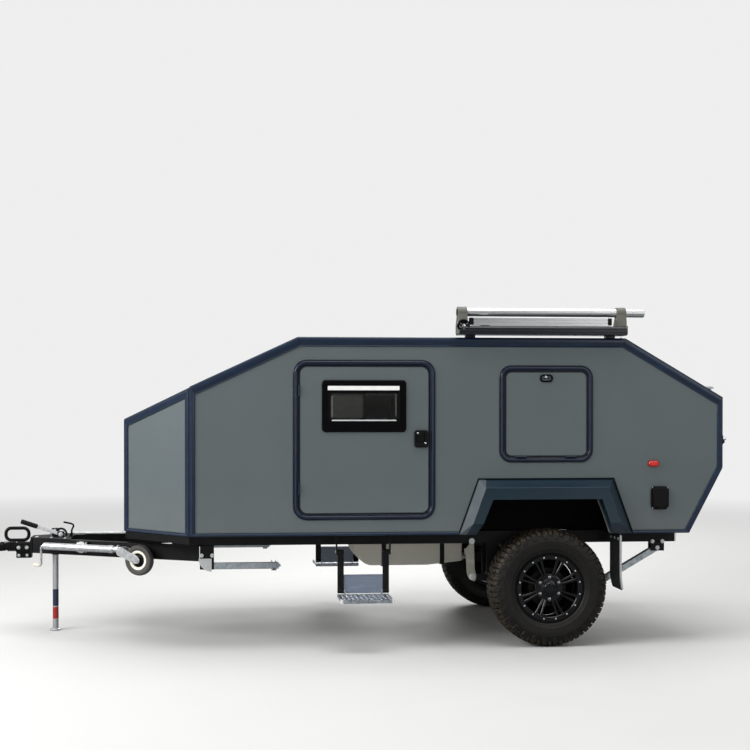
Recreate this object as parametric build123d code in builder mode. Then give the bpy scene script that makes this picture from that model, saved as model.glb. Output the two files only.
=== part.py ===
from build123d import *
import os
from math import atan2, cos, degrees, hypot, pi, sin, tan

# An off-road teardrop caravan: a low sandwich-panel cabin with a tapered nose and a galley at the
# tail, on a welded steel chassis with one independent trailing arm to each wheel.
# Millimetres. X runs back from the coupler, Y to the trailer's right, Z up from the ground.

os.makedirs("parts", exist_ok=True)

# Cabin
body_width = 1900
wall = 40
panel = 40
floor_z = 720
roof_z = 1965
nose_x = -1467
nose_top_z = 1454
nose_width = 960
corner_x = -1045
roof_front_x = -366
roof_rear_x = 1734
tail_x = 2374
tail_top_z = 1591
tail_low_z = 1140
tail_floor_x = 2152
bulkhead_x = 1690
bulkhead_thickness = 20
bench_z = 1100
bench_thickness = 30
panel_gap = 6

# Edge mouldings, proud of the panels they cover
moulding_proud = 8
moulding_cap = 6
moulding_return = 55
moulding_wide = 55
moulding_corner = 36
moulding_narrow = 32
moulding_sill = 22

# Doors and side hatches
door_x = 52
door_z = 1323
door_width = 820
door_height = 926
door_radius = 48
hatch_x = 1218
hatch_z = 1486
hatch_width = 526
hatch_height = 536
hatch_radius = 38
trim_band = 36
trim_proud = 10
leaf_gap = 6
leaf_proud = 5
hinge_out = 13
hinge_radius = 6
hinge_length = 70
door_hinge_spread = 620
hatch_hinge_spread = 320
window_x = 50
window_z = 1536
window_width = 536
window_height = 330
window_radius = 25
window_rim = 30
window_proud = 10
pane_thickness = 6
handle_x = 413
handle_z = 1329
handle_width = 90
handle_height = 110
handle_radius = 18
handle_depth = 24
latch_z = 1713
latch_length = 88
latch_height = 52
latch_depth = 20

# Tail hatch
tail_hatch_gap = 20
tail_hinge_rise = 8
tail_hinge_radius = 7
tail_hinge_leaf = 45
tail_hinge_sheet = 3
tail_handle_z = 1318
tail_handle_width = 130
tail_handle_height = 34
tail_handle_reach = 16

# Wheels and tyres, 245/70 R16
wheel_x = 1240
tyre_radius = 374.5
tyre_width = 245
tyre_reach = 40
tread_width = 190
bead_radius = 203
rim_width = 190
rim_lip_radius = 220.5
rim_lip = 6
bead_gap = 1
rim_wall = 6
disc_depth = 38
disc_thickness = 16
spoke_count = 8
spoke_window_inner = 78
spoke_window_outer = 172
spoke_window_angle = 27
hub_radius = 46
hub_reach = 12
spindle_radius = 25
spindle_gap = 0.2
hub_depth = 145
hub_flange_radius = 85
hub_flange_thickness = 22

# Wheel flares and wheel boxes
flare_out = 85
flare_top_z = 1070
flare_front_x = 783
flare_rear_x = 1657
flare_rake = 0.36
flare_lip_top_z = 1021
flare_lip_low_z = 795
flare_lip_front_x = 812
flare_lip_rear_x = 1608
arch_top_z = 946
arch_front_x = 860
arch_rear_x = 1562
arch_rake = 0.41
wheel_box_front_x = 755
wheel_box_rear_x = 1665
wheel_box_top_z = 963
wheel_box_depth = 270
wheel_box_sheet = 8

# Chassis
rail_inset = 250
rail_width = 50
rail_height = 80
rail_front_x = -1150
tube_wall = 4
cross_width = 50
cross_places = (-1125, -400, 925, 1690, 2090)
arm_height = 100
arm_width = 50
arm_front_x = -2120
arm_front_y = 55
arm_rear_x = -985
arm_plate = 10
gusset_length = 270
gusset_thickness = 6
skirt_drop = 48
skirt_thickness = 20

# Coupler and handbrake
coupler_reach = 270
coupler_head_radius = 45
coupler_head_top_z = 606
coupler_head_low_z = 550
socket_radius = 25.4
socket_depth = 40
coupler_bar_width = 60
coupler_housing_low_z = 500
coupler_housing_reach = 115
coupler_loop_length = 150
coupler_loop_height = 80
coupler_loop_bar = 14
coupler_loop_reach = 120
brake_lever_y = -60
brake_pivot_back = 191
brake_pivot_z = 664
brake_grip_reach = 73
brake_grip_z = 752
brake_bar = 26
brake_thickness = 12
brake_grip_length = 110
brake_grip_bar = 34

# Front prop leg
prop_back = 149
prop_radius = 20
prop_gap = 0.5
prop_sleeve_wall = 5
prop_sleeve_low_z = 520
prop_sleeve_high_z = 700
prop_top_z = 690
prop_foot_radius = 38
prop_foot_thickness = 14

# Jockey wheel, stowed along the left drawbar arm
jockey_out = 55
jockey_z = 598
jockey_pivot_s = 430
jockey_front_s = 156
jockey_rear_s = 700
jockey_fork_s = 746
jockey_wheel_s = 895
jockey_drop = 62
jockey_tube_radius = 24
jockey_stem_radius = 19
jockey_stem_gap = 0.4
jockey_wheel_radius = 100
jockey_wheel_width = 50
jockey_fork_sheet = 5
jockey_fork_gap = 5
jockey_axle_radius = 8
jockey_axle_gap = 0.1
clamp_length = 90
clamp_height = 76
clamp_pin_radius = 10
clamp_pin_gap = 0.2
clamp_pin_reach = 21.5
crank_low_z = 430
crank_radius = 7

# Steadies under the rails
steady_length = 480
steady_tube = 40
steady_sheet = 4
steady_pin_radius = 8
steady_pin_gap = 0.2
steady_cheek = 6
steady_cheek_gap = 4
steady_bracket_length = 90
steady_foot_length = 96
steady_foot_height = 58
steady_front_x = -936
steady_front_z = 507
steady_rear_x = 2033
steady_rear_z = 600
steady_rear_angle = 30

# Folding entry steps
step_front_x = -111
step_rear_x = 218
step_inset = 80
step_pivot_z = 612
step_arm_length = 252
step_arm_width = 40
step_arm_thickness = 8
step_tread_reach = 260
step_tread_top = 19
step_tread_thickness = 25
step_pin_radius = 6
step_pin_gap = 0.2
step_ear_thickness = 8
step_ear_gap = 2
step_plate_rise = 22
step_ear_over = 4
step_plate_height = 120
step_plate_thickness = 4

# Suspension
pivot_x = 925
pivot_z = 430
swing_arm_inset = 40
swing_arm_width = 60
swing_arm_height = 70
hanger_thickness = 10
hanger_length = 80
bush_radius = 30
coil_x = 1120
coil_radius = 52
coil_wall = 12
coil_seat_rim = 6

# Water tank, mud flaps, lamps and power inlet
tank_front_x = 75
tank_rear_x = 800
tank_low_z = 454
tank_half_width = 300
tank_front_radius = 110
tank_rear_rise = 25
flap_x = 1709
flap_low_z = 352
flap_inner_gap = 22
flap_inset = 5
flap_thickness = 8
marker_x = 1920
marker_z = 1168
marker_length = 77
marker_height = 44
marker_depth = 20
inlet_x = 1962
inlet_z = 947
inlet_width = 118
inlet_height = 150
inlet_depth = 30
tail_lamp_width = 300
tail_lamp_height = 90
tail_lamp_depth = 25
tail_lamp_inset = 230
tail_lamp_along = 0.5

# Awning on the left-hand roof edge
awning_front_x = 640
awning_rear_x = 1728
awning_inset = 45
awning_depth = 125
awning_rise = 20
awning_base_height = 57
awning_foot_length = 60
awning_tube_radius = 27
awning_tube_in = 70
awning_tube_rise = 145
awning_tube_rear_x = 1850
awning_bar_in = 22
awning_bar_thickness = 12
awning_bar_gap = 2
awning_bar_height = 52
awning_bar_front_x = 722
awning_bar_rear_x = 1612
awning_end_length = 62
awning_boss_radius = 41

# Worked out from the driving sizes
half = body_width / 2
nose_half = nose_width / 2
inner_y = half - wall
front_pitch = atan2(roof_z - nose_top_z, roof_front_x - nose_x)
rear_pitch = atan2(roof_z - tail_top_z, tail_x - roof_rear_x)
corner_top_z = nose_top_z + (corner_x - nose_x) * tan(front_pitch)
taper = atan2(half - nose_half, corner_x - nose_x)
taper_length = hypot(half - nose_half, corner_x - nose_x)
taper_wall_y = wall / cos(taper)
rail_low_z = floor_z - rail_height
rail_out_y = half - rail_inset
rail_inner_y = rail_out_y - rail_width
arm_rear_y = rail_out_y - rail_width / 2
coupler_tip_x = arm_front_x - coupler_reach
coupler_housing_front_x = arm_front_x - coupler_housing_reach
coupler_loop_x = arm_front_x - coupler_loop_reach
brake_pivot_x = arm_front_x + brake_pivot_back
brake_grip_x = arm_front_x - brake_grip_reach
prop_x = arm_front_x + prop_back
gusset_rear_x = arm_front_x + gusset_length
step_pivot_y = half - step_inset
swing_arm_y = rail_out_y - swing_arm_inset
flap_inner_y = rail_out_y + flap_inner_gap
flap_outer_y = half - flap_inset
tail_lamp_y = half - tail_lamp_inset
awning_inner_y = half - awning_inset
awning_outer_y = awning_inner_y + awning_depth
awning_low_z = roof_z + awning_rise
awning_tube_y = awning_outer_y - awning_tube_in
awning_tube_z = awning_low_z + awning_tube_rise
awning_bar_y = awning_outer_y - awning_bar_in
awning_bar_low_z = awning_low_z + awning_base_height + awning_bar_gap
awning_bar_high_z = awning_bar_low_z + awning_bar_height
wheel_z = tyre_radius
tyre_out_y = half + tyre_reach
hub_inner_y = tyre_out_y - hub_depth
tyre_mid_y = tyre_out_y - tyre_width / 2
arm_angle = atan2(arm_rear_y - arm_front_y, arm_rear_x - arm_front_x)
arm_length = hypot(arm_rear_y - arm_front_y, arm_rear_x - arm_front_x)
arm_low_z = rail_low_z - arm_height


def write(part, name):
    """Label a finished piece and keep it as its own file."""
    part.label = name
    export_step(part, f"parts/{name}.step")


def write_pair(part, name):
    """Keep a left-hand piece, and its mirror image for the right-hand side."""
    write(part, f"{name}_left")
    write(mirror(part, about=Plane.XZ), f"{name}_right")


def write_both(part, name):
    """Keep a left-hand piece and its mirror image together, as one name."""
    with BuildPart() as pair:
        add(part)
        add(mirror(part, about=Plane.XZ))
    write(pair.part, name)


def block(low, high, mode=Mode.ADD):
    """A box between two opposite corners."""
    low = Vector(*low)
    high = Vector(*high)
    with Locations((low + high) / 2):
        Box(abs(high.X - low.X), abs(high.Y - low.Y), abs(high.Z - low.Z), mode=mode)


def face_of(points, mode=Mode.ADD):
    """A flat face with straight sides through the points."""
    Polygon(*points, align=None, mode=mode)


def inset(outline, distances):
    """Corners of a clockwise outline with each side moved inwards by its own distance."""
    corners = []
    count = len(outline)
    for place in range(count):
        before = Vector(*outline[place - 1])
        here = Vector(*outline[place])
        after = Vector(*outline[(place + 1) % count])
        arriving = (here - before).normalized()
        leaving = (after - here).normalized()
        first = Vector(arriving.Y, -arriving.X)
        second = Vector(leaving.Y, -leaving.X)
        lean = first.dot(second)
        first_move = (distances[place - 1] - lean * distances[place]) / (1 - lean * lean)
        second_move = (distances[place] - lean * distances[place - 1]) / (1 - lean * lean)
        corner = here + first * first_move + second * second_move
        corners.append((corner.X, corner.Y))
    return corners


def left_side(depth=0):
    """The plane of the left-hand wall's outer face, moved inwards by depth; it looks out."""
    return Plane.XZ.offset(half - depth)


# The cabin's side view, clockwise from the foot of the nose
shell = [
    (nose_x, floor_z),
    (nose_x, nose_top_z),
    (roof_front_x, roof_z),
    (roof_rear_x, roof_z),
    (tail_x, tail_top_z),
    (tail_x, tail_low_z),
    (tail_floor_x, floor_z),
]
shell_inner = inset(shell, [panel] * len(shell))
side_outline = [(corner_x, floor_z), (corner_x, corner_top_z)] + shell[2:]

# The cabin's plan inside its side walls
plan_inner = [
    (nose_x, -nose_half + taper_wall_y),
    (nose_x, nose_half - taper_wall_y),
    (corner_x, half - taper_wall_y),
    (corner_x, inner_y),
    (tail_x, inner_y),
    (tail_x, -inner_y),
    (corner_x, -inner_y),
    (corner_x, -half + taper_wall_y),
]


def across(points):
    """A panel with the given side view that fills the cabin between its side walls."""
    with BuildPart() as piece:
        with BuildSketch(Plane.XZ):
            face_of(points)
        extrude(amount=half, both=True)
        with BuildSketch(Plane.XY):
            face_of(plan_inner)
        extrude(amount=roof_z + panel, mode=Mode.INTERSECT)
    return piece.part


# Side walls, with openings for the door, the side hatch and the wheel
arch_outline = [
    (arch_front_x - arch_rake * (arch_top_z - floor_z), floor_z),
    (arch_front_x, arch_top_z),
    (arch_rear_x, arch_top_z),
    (arch_rear_x + flare_rake * (arch_top_z - floor_z), floor_z),
]
with BuildPart() as side_wall:
    with BuildSketch(left_side(wall)):
        face_of(side_outline)
        with Locations((door_x, door_z)):
            RectangleRounded(
                door_width + 2 * leaf_gap, door_height + 2 * leaf_gap, door_radius + leaf_gap,
                mode=Mode.SUBTRACT,
            )
        with Locations((hatch_x, hatch_z)):
            RectangleRounded(
                hatch_width + 2 * leaf_gap, hatch_height + 2 * leaf_gap, hatch_radius + leaf_gap,
                mode=Mode.SUBTRACT,
            )
        face_of(arch_outline, mode=Mode.SUBTRACT)
    extrude(amount=wall)
write_pair(side_wall.part, "side_wall")

# Roof, front slope, nose front and tail chamfer, each between the side walls
tail_hinge_x = roof_rear_x + panel_gap - leaf_gap / 3
with BuildPart() as roof_panel:
    add(across([shell[2], shell[3], (roof_rear_x, roof_z - panel), shell_inner[2]]))
    block(
        (roof_rear_x - tail_hinge_leaf, -inner_y + moulding_return, roof_z),
        (roof_rear_x, inner_y - moulding_return, roof_z + tail_hinge_rise),
    )
    with BuildSketch(Plane.XZ):
        with Locations((tail_hinge_x, roof_z + tail_hinge_rise)):
            Circle(tail_hinge_radius)
    extrude(amount=inner_y - moulding_return, both=True)
    block(
        (roof_rear_x - tail_hinge_leaf, -inner_y + moulding_return, roof_z + tail_hinge_sheet),
        (roof_rear_x - tail_hinge_radius, inner_y - moulding_return, roof_z + tail_hinge_rise),
        mode=Mode.SUBTRACT,
    )
write(roof_panel.part, "roof_panel")
front_slope = across([shell[1], shell[2], shell_inner[2], shell_inner[1]])
write(front_slope, "front_slope_panel")
nose_front = across([shell[0], shell[1], shell_inner[1], shell_inner[0]])
write(nose_front, "nose_front_panel")
chamfer_run = (shell_inner[5][0] - shell_inner[6][0]) / (shell_inner[5][1] - shell_inner[6][1])
chamfer_inner_x = shell_inner[5][0] - chamfer_run * (shell_inner[5][1] - tail_low_z)
tail_chamfer = across([shell[5], shell[6], shell_inner[6], (chamfer_inner_x, tail_low_z)])
write(tail_chamfer, "tail_lower_panel")

# Floor, cut away over the wheels
with BuildPart() as floor_panel:
    add(across([shell[6], shell[0], shell_inner[0], shell_inner[6]]))
    for side in (-1, 1):
        block(
            (wheel_box_front_x, side * (inner_y - wheel_box_depth), floor_z),
            (wheel_box_rear_x, side * half, floor_z + panel),
            mode=Mode.SUBTRACT,
        )
write(floor_panel.part, "floor_panel")

# Tapered nose sides, from the floor to the top of the slope
with BuildPart() as nose_side:
    with BuildSketch(Plane.XY.offset(floor_z)):
        face_of([
            (corner_x, -half),
            (nose_x, -nose_half),
            (nose_x, -nose_half + taper_wall_y),
            (corner_x, -half + taper_wall_y),
        ])
    extrude(amount=roof_z - floor_z)
    with BuildSketch(Plane.XZ):
        face_of([shell[0], shell[1], shell[2], (roof_front_x, floor_z)])
    extrude(amount=half, mode=Mode.INTERSECT)
write_both(nose_side.part, "nose_sides")

# Bulkhead between the cabin and the galley, with the galley bench on its rear face
bench_rear_x = shell_inner[6][0] + chamfer_run * (bench_z - shell_inner[6][1])
with BuildPart() as galley:
    block(
        (bulkhead_x, -inner_y, floor_z + panel),
        (bulkhead_x + bulkhead_thickness, inner_y, roof_z - panel),
    )
    block(
        (bulkhead_x + bulkhead_thickness, -inner_y, bench_z),
        (bench_rear_x, inner_y, bench_z + bench_thickness),
    )
write(galley.part, "galley_bulkhead")

# Tail hatch, bent at the top of the tail and hung from the roof's rear edge
hatch_start_x = roof_rear_x + panel_gap
hatch_start_z = roof_z - panel_gap * tan(rear_pitch)
hatch_side = [
    (hatch_start_x, hatch_start_z),
    shell[4],
    (tail_x, tail_low_z + panel_gap),
    (tail_x - panel, tail_low_z + panel_gap),
    shell_inner[4],
    (hatch_start_x, hatch_start_z - panel / cos(rear_pitch)),
]
with BuildPart() as tail_hatch:
    with BuildSketch(Plane.XZ):
        face_of(hatch_side)
    extrude(amount=inner_y - tail_hatch_gap, both=True)
write(tail_hatch.part, "tail_hatch")
with BuildPart() as tail_handle:
    with BuildSketch(Plane.YZ.offset(tail_x)):
        with Locations((0, tail_handle_z)):
            RectangleRounded(tail_handle_width, tail_handle_height, tail_handle_height / 3)
    extrude(amount=tail_handle_reach)
write(tail_handle.part, "tail_hatch_handle")

# Wheel boxes, open below and towards the wheel
with BuildPart() as wheel_boxes:
    block(
        (wheel_box_front_x, -inner_y, floor_z),
        (wheel_box_rear_x, -inner_y + wheel_box_depth, wheel_box_top_z),
    )
    block(
        (wheel_box_front_x + wheel_box_sheet, -inner_y, floor_z),
        (
            wheel_box_rear_x - wheel_box_sheet,
            -inner_y + wheel_box_depth - wheel_box_sheet,
            wheel_box_top_z - wheel_box_sheet,
        ),
        mode=Mode.SUBTRACT,
    )
write_both(wheel_boxes.part, "wheel_boxes")

# Wheel flares: a raked frame that leans out from the wall to a flat lip
flare_base = [
    (flare_front_x - flare_rake * (flare_top_z - floor_z), floor_z),
    (flare_front_x, flare_top_z),
    (flare_rear_x, flare_top_z),
    (flare_rear_x + flare_rake * (flare_top_z - floor_z), floor_z),
]
flare_lip = [
    (flare_lip_front_x - flare_rake * (flare_lip_top_z - flare_lip_low_z), flare_lip_low_z),
    (flare_lip_front_x, flare_lip_top_z),
    (flare_lip_rear_x, flare_lip_top_z),
    (flare_lip_rear_x + flare_rake * (flare_lip_top_z - flare_lip_low_z), flare_lip_low_z),
]
with BuildPart() as flare:
    with BuildSketch(left_side()):
        face_of(flare_base)
    with BuildSketch(left_side(-flare_out)):
        face_of(flare_lip)
    loft()
    with BuildSketch(left_side()):
        face_of(arch_outline)
    extrude(amount=flare_out, mode=Mode.SUBTRACT)
write_pair(flare.part, "wheel_flare")

# Edge mouldings: a flat band on the side wall with a cap that turns over the panel's edge
side_bands = [
    moulding_corner, moulding_wide, moulding_wide, moulding_wide,
    moulding_narrow, moulding_narrow, moulding_sill,
]
side_caps = [0] + [-moulding_cap] * 5 + [0]
with BuildPart() as side_moulding:
    with BuildSketch(left_side()):
        face_of(inset(side_outline, side_caps))
        face_of(inset(side_outline, side_bands), mode=Mode.SUBTRACT)
        face_of(flare_base, mode=Mode.SUBTRACT)
    extrude(amount=moulding_proud)
    with BuildSketch(left_side()):
        face_of(inset(side_outline, side_caps))
        face_of(side_outline, mode=Mode.SUBTRACT)
    extrude(amount=-moulding_return)

# Nose mouldings: bands round the two tapered sides and the front
nose_side_plane = Plane(
    origin=(nose_x, -nose_half, 0), x_dir=(cos(taper), -sin(taper), 0),
    z_dir=(-sin(taper), -cos(taper), 0),
)
nose_side_outline = [
    (0, floor_z), (0, nose_top_z), (taper_length, corner_top_z), (taper_length, floor_z),
]
nose_front_outline = [
    (-nose_half, floor_z), (-nose_half, nose_top_z), (nose_half, nose_top_z), (nose_half, floor_z),
]
with BuildPart() as nose_side_moulding:
    with BuildSketch(nose_side_plane):
        face_of(nose_side_outline)
        face_of(
            inset(nose_side_outline, [moulding_narrow, moulding_wide, moulding_corner, moulding_sill]),
            mode=Mode.SUBTRACT,
        )
    extrude(amount=moulding_proud)
nose_front_plane = Plane(origin=(nose_x, 0, 0), x_dir=(0, -1, 0), z_dir=(-1, 0, 0))
with BuildPart() as mouldings:
    for piece in (side_moulding.part, nose_side_moulding.part):
        add(piece)
        add(mirror(piece, about=Plane.XZ))
    with BuildSketch(nose_front_plane):
        face_of(nose_front_outline)
        face_of(
            inset(nose_front_outline, [moulding_narrow, moulding_wide, moulding_narrow, moulding_sill]),
            mode=Mode.SUBTRACT,
        )
    extrude(amount=moulding_proud)
write(mouldings.part, "edge_mouldings")

# Steel skirt under the nose
with BuildPart() as skirt:
    with BuildSketch(Plane.XY.offset(floor_z)):
        face_of([(corner_x, half), (corner_x, -half), (nose_x, -nose_half), (nose_x, nose_half)])
        face_of(
            inset(
                [(corner_x, -half), (nose_x, -nose_half), (nose_x, nose_half), (corner_x, half)],
                [skirt_thickness] * 3 + [0],
            ),
            mode=Mode.SUBTRACT,
        )
    extrude(amount=-skirt_drop)
write(skirt.part, "nose_skirt")

# Frames round the door and side hatch openings, with the hinges' knuckles
openings = (
    (door_x, door_z, door_width, door_height, door_radius),
    (hatch_x, hatch_z, hatch_width, hatch_height, hatch_radius),
)
with BuildPart() as opening_frames:
    with BuildSketch(left_side()):
        for middle_x, middle_z, width, height, radius in openings:
            with Locations((middle_x, middle_z)):
                RectangleRounded(
                    width + 2 * leaf_gap + 2 * trim_band,
                    height + 2 * leaf_gap + 2 * trim_band,
                    radius + leaf_gap + trim_band,
                )
                RectangleRounded(
                    width + 2 * leaf_gap, height + 2 * leaf_gap, radius + leaf_gap,
                    mode=Mode.SUBTRACT,
                )
    extrude(amount=trim_proud)
    for end in (-1, 1):
        knuckle_z = door_z + end * door_hinge_spread / 2
        with BuildSketch(Plane.XY.offset(knuckle_z - hinge_length / 2)):
            with Locations((door_x - door_width / 2 - leaf_gap / 2, -half - hinge_out)):
                Circle(hinge_radius)
        extrude(amount=hinge_length)
        knuckle_x = hatch_x + end * hatch_hinge_spread / 2
        with BuildSketch(Plane.YZ.offset(knuckle_x - hinge_length / 2)):
            with Locations((-half - hinge_out, hatch_z - hatch_height / 2 - leaf_gap / 2)):
                Circle(hinge_radius)
        extrude(amount=hinge_length)
write_both(opening_frames.part, "opening_frames")

# Cabin doors, with the window and the handle
with BuildPart() as door:
    with BuildSketch(left_side(wall - leaf_proud)):
        with Locations((door_x, door_z)):
            RectangleRounded(door_width, door_height, door_radius)
        with Locations((window_x, window_z)):
            RectangleRounded(
                window_width - 2 * window_rim, window_height - 2 * window_rim, window_radius,
                mode=Mode.SUBTRACT,
            )
    extrude(amount=wall)
write_pair(door.part, "door")
with BuildPart() as door_window:
    with BuildSketch(left_side(-leaf_proud)):
        with Locations((window_x, window_z)):
            RectangleRounded(window_width, window_height, window_radius)
            RectangleRounded(
                window_width - 2 * window_rim, window_height - 2 * window_rim, window_radius,
                mode=Mode.SUBTRACT,
            )
        with Locations((handle_x, handle_z)):
            RectangleRounded(handle_width, handle_height, handle_radius)
    extrude(amount=window_proud)
    with BuildSketch(left_side(-leaf_proud)):
        with Locations((handle_x, handle_z)):
            RectangleRounded(handle_width, handle_height, handle_radius)
    extrude(amount=handle_depth)
write_pair(door_window.part, "door_fittings")
with BuildPart() as door_pane:
    with BuildSketch(left_side(-leaf_proud)):
        with Locations((window_x, window_z)):
            RectangleRounded(window_width - 2 * window_rim, window_height - 2 * window_rim, window_radius)
    extrude(amount=pane_thickness)
write_pair(door_pane.part, "door_pane")

# Side hatches, hung at their lower edge, with an oval latch
with BuildPart() as side_hatch:
    with BuildSketch(left_side(wall - leaf_proud)):
        with Locations((hatch_x, hatch_z)):
            RectangleRounded(hatch_width, hatch_height, hatch_radius)
    extrude(amount=wall)
write_pair(side_hatch.part, "side_hatch")
with BuildPart() as hatch_latch:
    with BuildSketch(left_side(-leaf_proud)):
        with Locations((hatch_x, latch_z)):
            SlotOverall(latch_length, latch_height)
    extrude(amount=latch_depth)
write_pair(hatch_latch.part, "hatch_latch")

# Chassis rails and cross members, in rectangular steel tube
with BuildPart() as rails:
    with BuildSketch(Plane.YZ.offset(rail_front_x)):
        for side in (-1, 1):
            with Locations((side * (rail_out_y - rail_width / 2), floor_z - rail_height / 2)):
                Rectangle(rail_width, rail_height)
                Rectangle(rail_width - 2 * tube_wall, rail_height - 2 * tube_wall, mode=Mode.SUBTRACT)
    extrude(amount=tail_floor_x - rail_front_x)
write(rails.part, "chassis_rails")
with BuildPart() as cross_members:
    with BuildSketch(Plane.XZ):
        for place in cross_places:
            with Locations((place, floor_z - rail_height / 2)):
                Rectangle(cross_width, rail_height)
                Rectangle(cross_width - 2 * tube_wall, rail_height - 2 * tube_wall, mode=Mode.SUBTRACT)
    extrude(amount=rail_inner_y, both=True)
write(cross_members.part, "cross_members")

# Drawbar arms, which run back under the rails, with a plate across their front and a gusset on top
arm_plane = Plane(
    origin=(arm_front_x, -arm_front_y, 0), x_dir=(cos(arm_angle), -sin(arm_angle), 0),
    z_dir=(-sin(arm_angle), -cos(arm_angle), 0),
)
with BuildPart() as drawbar_arm:
    with BuildSketch(arm_plane.offset(-arm_width / 2)):
        with Locations((arm_length / 2, rail_low_z - arm_height / 2)):
            Rectangle(arm_length + 2 * arm_width, arm_height)
    extrude(amount=arm_width)
    with BuildSketch(arm_plane.offset(-arm_width / 2 + tube_wall)):
        with Locations((arm_length / 2, rail_low_z - arm_height / 2)):
            Rectangle(arm_length + 2 * arm_width, arm_height - 2 * tube_wall)
    extrude(amount=arm_width - 2 * tube_wall, mode=Mode.SUBTRACT)
    block(
        (arm_front_x, -half, arm_low_z), (arm_rear_x, 0, rail_low_z), mode=Mode.INTERSECT,
    )
arm_spread = (arm_rear_y - arm_front_y) / (arm_rear_x - arm_front_x)
arm_half_y = arm_width / 2 / cos(arm_angle)
gusset_rear_y = arm_front_y + arm_spread * (gusset_rear_x - arm_front_x) + arm_half_y
with BuildPart() as drawbar:
    add(drawbar_arm.part)
    add(mirror(drawbar_arm.part, about=Plane.XZ))
    block(
        (arm_front_x - arm_plate, -arm_front_y - arm_half_y, arm_low_z),
        (arm_front_x, arm_front_y + arm_half_y, rail_low_z + gusset_thickness),
    )
    with BuildSketch(Plane.XY.offset(rail_low_z)):
        face_of([
            (arm_front_x, -arm_front_y - arm_half_y),
            (gusset_rear_x, -gusset_rear_y),
            (gusset_rear_x, gusset_rear_y),
            (arm_front_x, arm_front_y + arm_half_y),
        ])
        with Locations((prop_x, 0)):
            Circle(prop_radius + prop_gap + prop_sleeve_wall, mode=Mode.SUBTRACT)
    extrude(amount=gusset_thickness)
write(drawbar.part, "drawbar")

# Coupler: a socket for a 50 mm ball, its bar and housing, and the loop handle
plate_front_x = arm_front_x - arm_plate
socket_x = coupler_tip_x + coupler_head_radius
with BuildPart() as coupler:
    with Locations((socket_x, 0, (coupler_head_low_z + coupler_head_top_z) / 2)):
        Cylinder(coupler_head_radius, coupler_head_top_z - coupler_head_low_z)
    block(
        (socket_x, -coupler_bar_width / 2, coupler_head_low_z),
        (plate_front_x, coupler_bar_width / 2, coupler_head_top_z),
    )
    block(
        (coupler_housing_front_x, -coupler_head_radius, arm_low_z),
        (plate_front_x, coupler_head_radius, coupler_head_top_z),
    )
    block(
        (coupler_housing_front_x, -coupler_bar_width / 2, coupler_housing_low_z),
        (plate_front_x, coupler_bar_width / 2, arm_low_z),
    )
    with BuildSketch(Plane.XZ.offset(-coupler_loop_bar / 2)):
        with Locations((coupler_loop_x, coupler_head_top_z + coupler_loop_height / 2)):
            RectangleRounded(coupler_loop_length, coupler_loop_height, coupler_loop_height / 2.2)
            RectangleRounded(
                coupler_loop_length - 2 * coupler_loop_bar,
                coupler_loop_height - 2 * coupler_loop_bar,
                coupler_loop_height / 2.2 - coupler_loop_bar,
                mode=Mode.SUBTRACT,
            )
    extrude(amount=coupler_loop_bar)
    with BuildSketch(Plane.XY.offset(coupler_head_low_z)):
        with Locations((socket_x, 0)):
            Circle(socket_radius)
    extrude(amount=socket_depth, mode=Mode.SUBTRACT)
write(coupler.part, "coupler")

# Handbrake lever on the gusset: a flat bar with a rubber grip
lever_length = hypot(brake_grip_z - brake_pivot_z, brake_pivot_x - brake_grip_x)
lever_plane = Plane(
    origin=(brake_pivot_x, brake_lever_y, brake_pivot_z), x_dir=(
        brake_grip_x - brake_pivot_x, 0, brake_grip_z - brake_pivot_z,
    ), z_dir=(0, -1, 0),
)
with BuildPart() as handbrake:
    with BuildSketch(lever_plane.offset(-brake_thickness / 2)):
        with Locations((lever_length / 2, 0)):
            SlotOverall(lever_length + brake_bar, brake_bar)
    extrude(amount=brake_thickness)
    with BuildSketch(lever_plane.offset(-brake_grip_bar / 2)):
        with Locations((lever_length - brake_grip_length / 2, 0)):
            SlotOverall(brake_grip_length, brake_grip_bar)
    extrude(amount=brake_grip_bar)
    block(
        (brake_pivot_x - brake_bar, brake_lever_y - brake_bar, rail_low_z + gusset_thickness),
        (brake_pivot_x + brake_bar, brake_lever_y + brake_bar, brake_pivot_z),
    )
write(handbrake.part, "handbrake_lever")

# Front prop: a sleeve through the gusset and a round leg with a foot
with BuildPart() as prop_sleeve:
    with BuildSketch(Plane.XY.offset(prop_sleeve_low_z)):
        with Locations((prop_x, 0)):
            Circle(prop_radius + prop_gap + prop_sleeve_wall)
            Circle(prop_radius + prop_gap, mode=Mode.SUBTRACT)
    extrude(amount=prop_sleeve_high_z - prop_sleeve_low_z)
with BuildPart() as prop_leg:
    with BuildSketch(Plane.XY):
        with Locations((prop_x, 0)):
            Circle(prop_foot_radius)
    extrude(amount=prop_foot_thickness)
    with BuildSketch(Plane.XY):
        with Locations((prop_x, 0)):
            Circle(prop_radius)
    extrude(amount=prop_top_z)
write(prop_leg.part, "prop_leg")

# Jockey wheel, laid out along the left arm: s runs back along the arm, and depth runs outwards
jockey_line = arm_plane.offset(arm_width / 2 + jockey_out)
clamp_plane = arm_plane.offset(arm_width / 2)
with BuildPart() as jockey_clamp:
    with BuildSketch(clamp_plane):
        with Locations((jockey_pivot_s, jockey_z)):
            Rectangle(clamp_length, clamp_height)
    extrude(amount=jockey_out - jockey_tube_radius - leaf_gap)
    with BuildSketch(jockey_line.offset(-clamp_pin_reach)):
        with Locations((jockey_pivot_s, jockey_z)):
            Circle(clamp_pin_radius)
    extrude(amount=-(jockey_tube_radius + leaf_gap - clamp_pin_reach))
    add(prop_sleeve.part)
write(jockey_clamp.part, "drawbar_clamps")


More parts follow.
